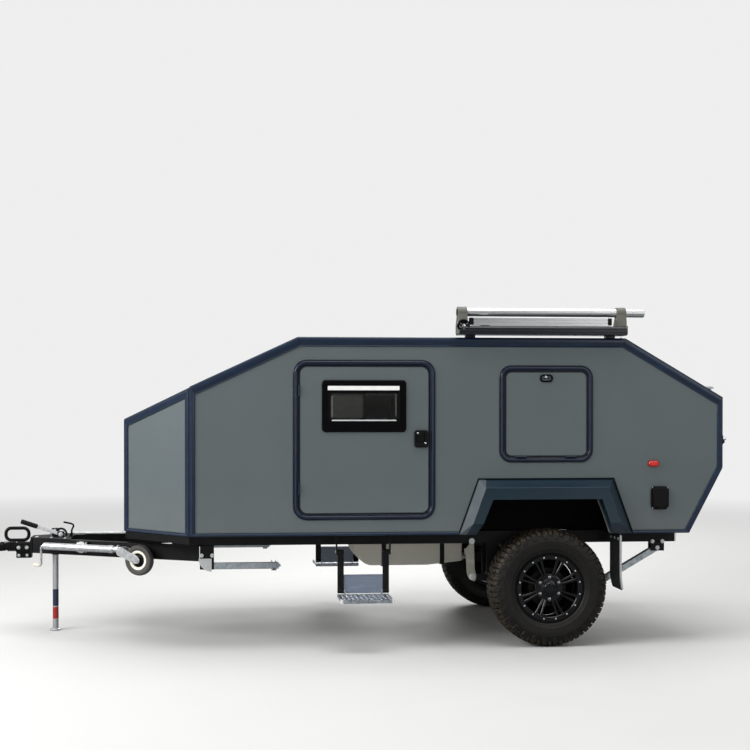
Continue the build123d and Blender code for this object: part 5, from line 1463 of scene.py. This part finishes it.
# Profiles turned about the tube or the castor's axle: radius, distance along
tube_profile = [
    (19.6, 0), (23, 0), (24, 1.5), (24, 505), (26.2, 508), (26.2, 538), (24, 544), (19.6, 544),
]
cap_profile = [(0, -6), (19.5, -6), (22.5, -3), (22.5, 3), (0, 4)]
disc_profile = [(10.5, -27), (36, -27), (38, -25.5), (38, -20.5), (36, -19), (10.5, -19)]
crank_grip = [(0, 0), (10, 0), (12.5, 3), (11.8, 16), (13.8, 34), (13, 43), (9, 48), (0, 50)]
stem_profile = [(0, 0), (19, 1), (19, 560), (0, 562)]
collar_profile = [(0, 0), (27, 0), (28.5, 2), (28.5, 16), (0, 18)]
axle_profile = [(0, -34), (7.5, -34), (7.5, 34), (0, 34)]
castor_half = [(62, 19), (68, 23), (82, 25), (92, 23.5), (98, 17), (100, 9), (100, 3), (97.5, 1.5)]
rim_half = [(45.5, 12), (46, 18), (50, 21.5), (59, 22.5), (62.5, 21.5), (64, 19)]
hub_half = [(8.2, 24), (16, 24), (20, 22), (22, 13), (40, 8), (46.5, 8)]
fork_line = [(742, 566), (742, 616), (775, 617), (905, 560), (917, 538), (908, 517), (880, 514)]
crown_line = [(742, 566), (742, 616), (775, 617), (800, 606), (788, 566)]
cream_plastic = plastic("cream grip", (0.62, 0.58, 0.48), 0.4)
castor_rubber = plastic("castor rubber", (0.045, 0.042, 0.038), 0.6, 160, 0.0005)
castor_rim = plastic("castor rim", (0.74, 0.71, 0.62), 0.4, 120, 0.0002)


def along(distance, height, depth=0):
    """The point at a distance along the jockey tube's line, at a height and depth outwards."""
    return on_plane(jockey_plane, np.array([[distance, height]], float), depth)[0]


def soft(points, radius, steps=5):
    """A polygon with its corners cut to smooth curves that start a radius from each corner."""
    points = np.asarray(points, float)
    share = np.linspace(0, 1, steps)[:, None]
    made = []
    for place, corner in enumerate(points):
        before = points[place - 1] - corner
        after = points[(place + 1) % len(points)] - corner
        first = corner + before * min(0.45, radius / np.linalg.norm(before))
        last = corner + after * min(0.45, radius / np.linalg.norm(after))
        made.append((1 - share) ** 2 * first + 2 * share * (1 - share) * corner + share**2 * last)
    return np.concatenate(made)


def castor_ring(half_profile, steps):
    """Half a profile and its mirror image, turned about the castor's axle."""
    profile = [(radius, -out) for radius, out in half_profile] + half_profile[::-1]
    return turned(profile, along(*castor_at), arm_outward, steps, loop=True)


clamp_shapes = [
    turned(sleeve_profile, (prop_x, 0, 0), (0, 0, 1), loop=True),
    plate(jockey_plane, round_box(clamp_at, jockey_z, 90, 76, 12, 5), -55, -31, 3),
    turned(rounded_pin(16, 10, 2), along(clamp_at, jockey_z, -33), arm_outward, 24),
]
clamp_bolts = bolt((prop_x, -26.8, 687), (0, -1, 0), 7, 12)
for distance in (clamp_at - 33, clamp_at + 33):
    for height in (jockey_z - 26, jockey_z + 26):
        clamp_bolts += bolt(along(distance, height, -31), arm_outward, 6, 5, 1.3)
bend = np.linspace(0, pi / 2, 6)
crank_line = [along(163, jockey_z)]
crank_line += [along(128 + 14 * (1 - sin(a)), jockey_z - 14 * (1 - cos(a))) for a in bend]
crank_line += [along(128 - 12 * (1 - cos(a)), crank_low + 12 * (1 - sin(a))) for a in bend]
crank_line.append(along(108, crank_low))
tube_shapes = [
    turned(tube_profile, along(tube_start, jockey_z), arm_way, 28, loop=True),
    turned(cap_profile, along(tube_start, jockey_z), arm_way, 28),
    turned(disc_profile, along(clamp_at, jockey_z), arm_outward, loop=True),
    rod(crank_line, 8),
]
fork_shapes = [
    turned(stem_profile, along(184, jockey_z), arm_way, 24),
    plate(jockey_plane, soft(crown_line[::-1], 10), -33.5, 33.5, 3),
    turned(collar_profile, along(728, jockey_z), arm_way, 28),
    turned(axle_profile, along(*castor_at), arm_outward, 16),
]
for side, low in ((-1, -35), (1, 30)):
    fork_shapes.append(plate(jockey_plane, soft(fork_line[::-1], 12), low, low + 5, 1.4))
    fork_shapes += bolt(along(*castor_at, side * 35), arm_outward * side, 10, 8)
crank_handle = turned(crank_grip, along(116, crank_low), -arm_way, 18)
build("jockey_clamp", clamp_shapes, chassis_paint, replaces=["drawbar_clamps"])
build("clamp_bolts", clamp_bolts, zinc_plate)
build("jockey_tube_body", tube_shapes, zinc_plate, "jockey_tube", ["jockey_tube"])
build("jockey_crank_grip", [crank_handle], cream_plastic, "jockey_tube")
build("jockey_fork_body", fork_shapes, zinc_plate, "jockey_leg", ["jockey_fork"])
build(
    "jockey_tyre", [castor_ring(castor_half, 56)], castor_rubber, "jockey_wheel",
    ["jockey_wheel"],
)
build("jockey_rim", [castor_ring(rim_half, 48)], castor_rim, "jockey_wheel")
build("jockey_hub", [castor_ring(hub_half, 32)], black_satin, "jockey_wheel")

# Steadies. Galvanised channel legs with pressed feet, each swinging on a bolt between the cheeks
# of a black bracket; a quarter-round guard plate covers the front pivots.
steady_table = (
    # name, pivot's place along and up, slope in degrees, way along, bracket bolts above the pivot
    ("front", -936, 507, 0, 1, 70),
    ("rear", 2033, 600, 30, -1, 42),
)
cheek_y = rail_y - 30
guard_corner = (-906, 558)
guard_radius = 84
steady_section = np.array([
    (-20, 20), (-20, -17), (-17, -20), (17, -20), (20, -17), (20, 20), (16.5, 20), (16.5, -14),
    (14, -16.5), (-14, -16.5), (-16.5, -14), (-16.5, 20),
])
steady_stations = np.array([-4, 0, 458, 462])[:, None, None]
steady_shrink = np.array([0.9, 1, 1, 0.92])[:, None, None]
steady_bush = [(8.5, -19), (19.5, -19), (19.5, 19), (8.5, 19)]
steady_pin = [(0, -26), (8, -26), (8, 26), (0, 26)]
steady_rivet = [(0, 0), (7.5, 0), (6, 1.2), (0, 1.4)]
channel_steel = Look("galvanised channel", (0.42, 0.46, 0.49), 0.36, 0.85)
cells = {"Vector": channel_steel.place, "Scale": 55}
spangle = channel_steel.node("ShaderNodeTexVoronoi", {}, cells, output="Color")
spangle_tone = channel_steel.node("ShaderNodeRGBToBW", {}, {0: spangle})
channel_steel.finish(
    spangle_tone, (0.34, 0.38, 0.41), (0.52, 0.56, 0.6), spangle_tone * 0.18 + 0.26,
    channel_steel.noise(220, 3), 0.0002,
)
guard_outline = [
    (guard_corner[0] + guard_radius * cos(a), guard_corner[1] + guard_radius * sin(a))
    for a in np.radians(np.linspace(180, 270, 12))
]
steady_hardware = [plate(facing_left(cheek_y), guard_outline + [guard_corner], 0.5, 3.5)]
for name, pivot_x, pivot_z, slope, way, bolt_rise in steady_table:
    run = np.array([way * cos(radians(slope)), 0, -sin(radians(slope))])
    up = np.array([way * sin(radians(slope)), 0, cos(radians(slope))])
    pivot = np.array([pivot_x, rail_y, pivot_z])
    leg_plane = (pivot, run, up)
    flat = steady_section * (1, way)
    section = flat[None, :, :1] * np.array([0, 1, 0]) + flat[None, :, 1:] * up
    steady_shapes = [
        skin(pivot + steady_stations * run + steady_shrink * section),
        turned(steady_bush, pivot, (0, 1, 0), 24, loop=True),
        turned(steady_pin, pivot + run * 466, (0, 1, 0), 14),
        block((414, -29, -40), (420.5, 29, 40), 3, leg_plane),
        block((440.5, -29, -40), (447, 29, 40), 3, leg_plane),
        block((414, -29, -36), (447, -24, 36), 2, leg_plane),
    ]
    for distance in (120, 260):
        rivet_place = pivot + run * distance + (0, -20, 0)
        steady_shapes.append(turned(steady_rivet, rivet_place, (0, -1, 0), 14))
    pair(
        f"steady_{name}_channel", steady_shapes, channel_steel.material,
        f"steady_{name}", f"steady_leg_{name}", 30,
    )
    steady_hardware += bolt((pivot_x, cheek_y, pivot_z), (0, -1, 0), 9, 7)
    steady_hardware += bolt((pivot_x, rail_y + 30, pivot_z), (0, 1, 0), 9, 7)
    for end in (-34, 34):
        steady_hardware += bolt((pivot_x + end, cheek_y, pivot_z + bolt_rise), (0, -1, 0), 8.5, 6)
build("steady_hardware", both(steady_hardware), white_zinc)

# Entry steps. Two flat black arms swing on bolts under the floor and carry a bluish riser plate;
# the tread is a folded aluminium pan with a raised lozenge pattern and pale end caps.
step_front = -111
step_rear = 218
step_y = -870
step_top = 612
step_low = 360
tread_top = 341
pan_top = 339
tread_out = -1130
arm_middles = (step_front + 20, step_rear - 20)
arm_eye = [(6.5, -20), (12.5, -20), (14, -18.5), (14, 18.5), (12.5, 20), (6.5, 20)]
tread_pin = [(0, 0), (6, 0), (6, 44), (0, 44)]
lozenge_half = (11.5, 4.2)
lozenge_rows = ((1, -0.6), (0.8, 1.2), (0.45, 1.8))
ear_top = step_low + 10
ear_low = tread_top - 4
ear_outline = soft([(-12, ear_low), (12, ear_low), (12, ear_top), (-12, ear_top)], 6)


def lozenge(middle_x, middle_y, turn, height):
    """A raised lens of checker plate: a pointed oval that rises to a narrow flat top."""
    angle = np.linspace(0, 2 * pi, 8, endpoint=False)
    wide, narrow = lozenge_half[0] * np.cos(angle), lozenge_half[1] * np.sin(angle)
    flat = np.stack([wide * cos(turn) - narrow * sin(turn), wide * sin(turn) + narrow * cos(turn)], axis=-1)
    rows = []
    for scale, lift in lozenge_rows:
        rows.append(np.insert((middle_x, middle_y) + flat * scale, 2, height + lift, axis=1))
    return skin(np.stack(rows))


step_arms = []
step_bolts = []
for middle, outward in zip(arm_middles, (-1, 1)):
    step_arms.append(block((middle - 20, step_y - 8, step_low), (middle + 20, step_y + 8, step_top)))
    for height in (step_low, step_top):
        step_arms.append(turned(arm_eye, (middle, step_y, height), (1, 0, 0), 24, loop=True))
    step_bolts += bolt((middle + outward * 30, step_y, step_top), (outward, 0, 0), 7.5, 6)
riser = [
    plate(facing_left(step_y), round_box(53.5, 406, 257, 120, 6), -2, 2),
    block((-71, step_y - 6, 462), (178, step_y + 2, 466), 1.5),
]
tread = [block((step_front, tread_out, pan_top - 22.5), (step_rear, step_y + 20, pan_top), 5)]
for row in range(9):
    for column in range(11):
        place = (step_front + 22 + column * 28.5, tread_out + 22 + row * 29)
        tread.append(lozenge(*place, pi / 4 if (row + column) % 2 else -pi / 4, pan_top))
for ear_x, low, inward in ((step_front + 42, 0, 1), (step_rear - 42, -8, -1)):
    tread.append(plate(facing_back(ear_x, step_y), ear_outline, low, low + 8))
    tread.append(turned(tread_pin, (ear_x - inward * 42, step_y, step_low), (inward, 0, 0), 14))
caps = [
    block((low, tread_out - 3, pan_top - 24.5), (low + 15, tread_out + 50, pan_top + 1.5), 4)
    for low in (step_front - 3, step_rear - 12)
]
riser_steel = rolled_paint("riser plate", (0.17, 0.205, 0.265), 0.34, 0.25)
tread_look = Look("tread plate", (0.5, 0.53, 0.58), 0.34, 0.9)
scuff = tread_look.noise(30, 6).rise(0.4, 0.75)
tread_look.finish(
    scuff, (0.36, 0.39, 0.44), (0.62, 0.65, 0.69), scuff * 0.25 + 0.22, tread_look.noise(280, 3), 0.0002,
)
cap_plastic = plastic("step end caps", (0.6, 0.61, 0.62), 0.4)
pair("step_arm_bars", step_arms, chassis_paint, "step_arms", "step_arms")
pair("step_riser", riser, riser_steel, "step_arms")
pair("step_pivot_bolts", step_bolts, zinc_plate)
pair("step_pan", tread, tread_look.material, "step_tread", "step_tread")
pair("step_end_caps", caps, cap_plastic, "step_tread")

# Water tank. A milky rotomoulded tank with soft corners and a seam round its middle, hung between
# the rails on two black steel straps, with a drain tap and a filler hose at its rear.
tank_plane = facing_left(-300)
tank_tones = ((0.46, 0.44, 0.38), (0.56, 0.54, 0.47))
tank_outline = np.concatenate([
    arc((185, 0, 564), 110, 180, 270, steps=12)[:, ::2],
    soft([(300, 454), (558, 454), (800, 479), (800, 640), (75, 640)], 16)[5:20],
    [(79, 640), (75, 636)],
])
tank_shapes = [plate(tank_plane, tank_outline, -600, 0, 14, 6)]
for depth in (-150, -300, -450):
    tank_shapes.append(plate(tank_plane, inset(tank_outline, -3), depth - 6, depth + 6, 2.8))
tap_profile = [(0, 0), (26, 0), (26, 14), (15, 17), (15, 44), (20, 47), (20, 60), (0, 62)]
tap = [turned(tap_profile, (798, -262, 506), (1, 0, 0), 20), block((822, -272, 520), (834, -252, 562))]
hose_bend = arc((840, 180, 640), 40, 270, 360, steps=7)
hose_line = np.vstack([[(800, 180, 600)], hose_bend, [(880, 180, 719)]])


def band(path, across, width, thickness):
    """A flat band along a line of points, lying across a fixed direction."""
    path = np.asarray(path, float)
    ways = unit(np.diff(path, axis=0))
    tangents = unit(np.vstack([ways[:1], ways[:-1] + ways[1:], ways[-1:]]))
    across = np.asarray(across, float)
    out = unit(np.cross(tangents, across))
    side, edge = width / 2, thickness * 0.3
    half_section = [(side - edge, thickness), (side, thickness - edge), (side, edge), (side - edge, 0)]
    section = [(-place, lift) for place, lift in half_section[::-1]] + half_section
    return skin(np.stack([path + place * across + lift * out for place, lift in section], axis=1))


straps = []
for strap_x, strap_z in ((260, 453.5), (660, 464)):
    left_bend = arc((strap_x, -286, strap_z + 14), 18, 180, 270, "x", 7)
    right_bend = arc((strap_x, 286, strap_z + 14), 18, 270, 360, "x", 7)
    strap_line = np.vstack([[(strap_x, -304, 655)], left_bend, right_bend, [(strap_x, 304, 655)]])
    straps.append(band(strap_line, (1, 0, 0), 30, 3))
    straps += both([block((strap_x - 20, -302, 636), (strap_x + 20, -330, 642), 2)])
tank_look = Look("milky tank", (0.5, 0.485, 0.42), 0.42)
# The tank is mixed a little greyer below the middle of its height.
tank_lower_half = 1 - tank_look.axis("Z").rise(0.535, 0.545)
tank_tone = tank_look.mix(tank_look.noise(5, 4), *tank_tones)
tank_gloss = tank_look.noise(30, 4) * 0.2 + 0.32
tank_look.finish(
    tank_lower_half * 0.15, tank_tone, (0.38, 0.39, 0.36), tank_gloss, tank_look.noise(60, 4), 0.0008,
)
build("tank_body", tank_shapes, tank_look.material, replaces=["water_tank"])
build("tank_straps", straps, chassis_paint)
build("tank_tap", tap, white_zinc)
build("tank_hose", [rod(hose_line, 16, 14)], rubber)

# Mud flaps. Black rubber sheets, curled a little at the foot, hung from a bolted clamping bar and
# stiffened along the outer edge by a folded zinc strip.
flap_x = 1709
flap_low = 352
flap_inner = -722
flap_outer = -945
flap_bolt_z = 682
rib_lift = 1.2
strip_section = ((-5.5, 12), (-6.8, 0), (-5, -3), (5, -3), (6.8, 0), (5.5, 12))


def flap_middle(height):
    """Where the flap's middle stands along the trailer at a height: its foot curls back."""
    return flap_x + 14 * max(0, (470 - height) / 118) ** 2


flap_rows = []
for height, corner in zip(np.linspace(flap_low, 716, 15), [20, 6] + [0] * 13):
    inner, outer = flap_inner - corner, flap_outer + corner
    ribs = enumerate(np.linspace(flap_inner - 30, flap_outer + 30, 9))
    section = [(-4, inner), (4, inner)] + [(4 + rib_lift * (place % 2), y) for place, y in ribs]
    section += [(4, outer), (-4, outer)]
    flap_rows.append([(flap_middle(height) + x, y, height) for x, y in section])
strip_rows = [
    [(flap_middle(height) + x, flap_outer + y, height) for x, y in strip_section]
    for height in np.linspace(flap_low + 10, 706, 14)
]
flap_bar = block((flap_x + 4, flap_outer + 20, 664), (flap_x + 10, flap_inner - 6, 700), 2)
flap_hardware = [skin(np.array(strip_rows))]
for share in (0.05, 0.5, 0.95):
    bolt_y = flap_inner - 20 + share * (flap_outer - flap_inner + 50)
    flap_hardware += bolt((flap_x + 10, bolt_y, flap_bolt_z), (1, 0, 0), 7.5, 6)
    flap_hardware += bolt((flap_x - 4, bolt_y, flap_bolt_z), (-1, 0, 0), 7.5, 6)
flap_look = Look("flap rubber", (0.008, 0.008, 0.008), 0.5)
flap_dirt = (1 - flap_look.axis("Z").rise(0.36, 0.62)) * flap_look.noise(22, 6)
flap_gloss = flap_look.noise(30, 4) * 0.25 + 0.4
flap_look.finish(
    flap_dirt * 0.3, (0.005, 0.005, 0.005), (0.12, 0.105, 0.08), flap_gloss, flap_look.noise(200, 3),
    0.0005,
)
flap_sheet = skin(np.array(flap_rows))
build("flap_sheets", both([flap_sheet]), flap_look.material, replaces=["mud_flaps"])
build("flap_bars", both([flap_bar]), chassis_paint)
build("flap_hardware", both(flap_hardware), white_zinc)

# Suspension. Each trailing arm swings in bolted hanger plates and bears a black coil spring on a
# rubber seat; a telescopic damper stands inside it, and a galvanised strut braces the hanger.
coil_x = 1120
coil_y = -630
coil_low = 443.3
coil_high = 640
coil_wire = 6.8
coil_reach = 45.2
coil_turns = 5.4
coil_share = np.linspace(0, 1, 150)
coil_turn = 2 * pi * coil_turns * coil_share
coil_rise = coil_share - 0.045 * np.sin(2 * pi * coil_share)
coil_line = np.stack([
    coil_x + coil_reach * np.cos(coil_turn), coil_y + coil_reach * np.sin(coil_turn),
    coil_low + 10 + coil_wire + (coil_high - coil_low - 20 - 2 * coil_wire) * coil_rise,
], axis=-1)
damper_low = np.array([1212, -545, 398])
damper_high = np.array([988, -545, 672])
damper_way = unit(damper_high - damper_low)
damper_length = float(np.linalg.norm(damper_high - damper_low))
seat_profile = [(0, 0), (54, 0), (54, 6), (50, 10), (36, 10), (33, 20), (0, 22)]
stop_profile = [(0, 0), (22, 0), (26, 14), (18, 22), (22, 34), (12, 52), (0, 55)]
damper_body = [(0, 18), (16, 20), (23.5, 30), (23.5, 185), (20.5, 192), (0, 193)]
damper_cover = [(0, 150), (27, 152), (28, 158)]
damper_cover += [(28, damper_length - 40), (20, damper_length - 22), (0, damper_length - 18)]
damper_eye = [(6, -18), (19, -18), (19, 18), (6, 18)]
damper_pin = [(0, 0), (6.5, 0), (6.5, 85), (0, 85)]
strut_outline = soft([
    (752, 440), (770, 404), (808, 392), (816, 428), (803, 470), (799, 622), (800, 676), (768, 676),
    (766, 628), (741, 610),
], 14)
strut = plate(facing_left(-716), strut_outline, -5, 5, 1.5)
coil_seats = [
    turned(seat_profile, (coil_x, coil_y, coil_low - 1), (0, 0, 1)),
    turned(seat_profile, (coil_x, coil_y, coil_high + 1), (0, 0, -1)),
    turned(stop_profile, (coil_x, coil_y, coil_high - 16), (0, 0, -1), 24),
]
dampers = [turned(profile, damper_low, damper_way, 24) for profile in (damper_body, damper_cover)]
dampers += [turned(damper_eye, place, (0, 1, 0), 20, loop=True) for place in (damper_low, damper_high)]
brackets = [
    turned(damper_pin, (1212, -602, 398), (0, 1, 0), 14),
    block((948, -572, 642), (1004, -566, 704), 2),
    block((948, -524, 642), (1004, -518, 704), 2),
    block((775, -714, 400), (915, -704, 440)),
]
hanger_bolts = bolt((784, -721, 656), (0, -1, 0), 12, 8)
for place, way in (((786, -721, 424), -1), ((925, -711, 430), -1), ((925, -559, 430), 1)):
    hanger_bolts += bolt(place, (0, way, 0), 14, 10)
coil_paint = rolled_paint("spring paint", (0.01, 0.01, 0.011), 0.3, 0.4)
damper_paint = rolled_paint("damper paint", (0.02, 0.022, 0.024), 0.3, 0.4)
strut_paint = rolled_paint("hanger plate paint", (0.25, 0.245, 0.205), 0.4, 0.2)
build(
    "coil_wires", both([rod(coil_line, coil_wire, 9)]), coil_paint,
    replaces=["coil_springs"], crease=60,
)
build("coil_seats", both(coil_seats), rubber)
build("dampers", both(dampers), damper_paint)
build("damper_brackets", both(brackets), chassis_paint)
build("hanger_bolts", both(hanger_bolts), white_zinc)
build("hanger_struts", both([strut]), strut_paint)

# Cabin floor and galley. The floor is a coated plywood panel, dark and weathered underneath; the
# bulkhead and bench are birch plywood with a clear lacquer.
board_look = Look("floor board", (0.03, 0.027, 0.024), 0.6)
floor_board = board_look.finish(
    board_look.noise(7, 6), (0.02, 0.018, 0.016), (0.055, 0.048, 0.04),
    board_look.noise(20, 4) * 0.2 + 0.5, board_look.noise(80, 5), 0.0005,
)
birch = Look("birch plywood", (0.48, 0.34, 0.2), 0.4, Coat_Weight=0.3, Coat_Roughness=0.25)
grain = birch.noise(26, 5, stretch=(1, 0.12, 1))
birch_wood = birch.finish(grain, (0.36, 0.24, 0.13), (0.58, 0.43, 0.27), grain * 0.15 + 0.34, grain, 0.0003)
dress(floor_board, "floor_panel")
dress(birch_wood, "galley_bulkhead")

# Opening liners. Painted aluminium angles line the cut edges of the door and side hatch openings
# and turn on to the wall's inner face; a black rubber bulb on their inner lip seals the leaves.
liner_section = [(6.2, 1.5), (6.2, -39.6), (26, -39.6), (26, -41.8), (-10, -41.8), (-10, -40.2)]
liner_section += [(4.4, -40.2), (4.4, 1.5)]
bulb_radius = 2.4
bulb_section = [
    (-6 + bulb_radius * cos(turn), -38 + bulb_radius * sin(turn))
    for turn in np.linspace(0, 2 * pi, 10, endpoint=False)
]
tail_seal_line = [(1752, -901.5, 1930), (2344, -901.5, 1581), (2350, -901.5, 1160)]
liners = [ring_frame(left_plane, leaf, liner_section) for leaf in leaves]
seals = [ring_frame(left_plane, leaf, bulb_section) for leaf in leaves] + [rod(tail_seal_line, 8, 8)]
tail_sill_seal = block((2344, -885, 1139), (2357, 885, 1144), 2)
seal_look = Look("sealing rubber", (0.01, 0.01, 0.011), 0.7)
seal_rubber = seal_look.finish(
    roughness=seal_look.noise(60, 3) * 0.2 + 0.58, height=seal_look.noise(350, 2), proud=0.0002,
)
build("opening_liners", both(liners), lip_paint)
build("opening_seals", both(seals) + [tail_sill_seal], seal_rubber)

# Door inner catches. A flat black plate with a short lever on the inner face of each door,
# opposite the outside handle, moulded in satin plastic.
catch_plate = plate(left_plane, round_box(405, 1329, 78, 100, 14), -46, -34.5, 3)
catch_lever = plate(left_plane, round_box(392, 1322, 78, 20, 9), -58, -44, 5)
pair("door_catch", [catch_plate, catch_lever], black_satin, "door")

# Bed base. Birch slats laid across two long boards and a ledge along each wall, level with the
# tops of the wheel boxes, and closed by a board at the front.
slat_low = 966
slat_high = 982
slat_wide = 72
slat_half = 886
slat_count = 18
bed_front = -340
bed_rear = 1680
board_low = 760.5
bed_shapes = both([
    block((bed_front, -610, board_low), (bed_rear, -588, slat_low), 2),
    block((bed_front, -909, 926), (745, -slat_half, slat_low), 2),
])
bed_shapes.append(block((bed_front - 18, -slat_half, board_low), (bed_front, slat_half, 992), 2))
for slat_x in np.linspace(bed_front + 10, bed_rear - slat_wide - 6, slat_count):
    bed_shapes.append(block((slat_x, -slat_half, slat_low), (slat_x + slat_wide, slat_half, slat_high)))
slat_look = Look("slat wood", (0.55, 0.42, 0.27), 0.5)
slat_grain = slat_look.noise(30, 5, stretch=(1, 0.08, 1))
slat_wood = slat_look.finish(
    slat_grain, (0.42, 0.3, 0.17), (0.64, 0.5, 0.33), slat_grain * 0.2 + 0.42, slat_grain, 0.0004,
)
build("bed_base", bed_shapes, slat_wood)

# Galley locker. A shallow birch cupboard across the bulkhead, above the bench: three flap doors
# with rounded edges and a black finger cup each, and a raised strip along the bench's rear edge.
locker_back = 1709.5
locker_front = 1895
locker_low = 1470
locker_high = 1792
locker_half = 884
locker_board = 15
flap_gap = 4
flap_width = 2 * locker_half / 3
flap_middle_z = (locker_low + locker_high) / 2
cup_z = locker_low + 50
cup_rows = [(0, 13.5), (0, 16.5), (0.4, 17.5), (1, 15), (1, 13.5)]
flap_plane = facing_back(locker_front)
locker = [block((2284, -905, 1129), (2302, 905, 1144), 4)]
for low in (locker_low, locker_high - locker_board):
    board_corner = (locker_front, locker_half, low + locker_board)
    locker.append(block((locker_back, -locker_half, low), board_corner, 2))
for divider_y in np.linspace(-locker_half, locker_half - locker_board, 4):
    divider_corner = (locker_front - 1, divider_y + locker_board, locker_high - 12)
    locker.append(block((locker_back, divider_y, locker_low + 12), divider_corner, 1))
flaps = []
finger_cups = []
for middle in (-flap_width, 0, flap_width):
    flap_box = (middle, flap_middle_z, flap_width - flap_gap, locker_high - locker_low, 8)
    flaps.append(plate(flap_plane, round_box(*flap_box), 1, 14, 3))
    cup_outer = (middle, cup_z, 110, 34, 16)
    cup_inner = (middle, cup_z, 98, 22, 10)
    finger_cups.append(between(flap_plane, cup_outer, cup_inner, cup_rows, 6))
    finger_cups.append(plate(flap_plane, round_box(*cup_inner, 6), 13, 14.6, 0.5))
laminate = Look("locker laminate", lining_colour, 0.4)
fleck = laminate.noise(240, 2)
laminate.finish(
    fleck, (0.48, 0.45, 0.39), (0.54, 0.51, 0.45), laminate.noise(12, 4) * 0.15 + 0.33, fleck, 0.0001,
)
build("galley_locker", locker, birch_wood)
build("locker_flaps", flaps, laminate.material)
build("locker_finger_cups", finger_cups, black_satin)
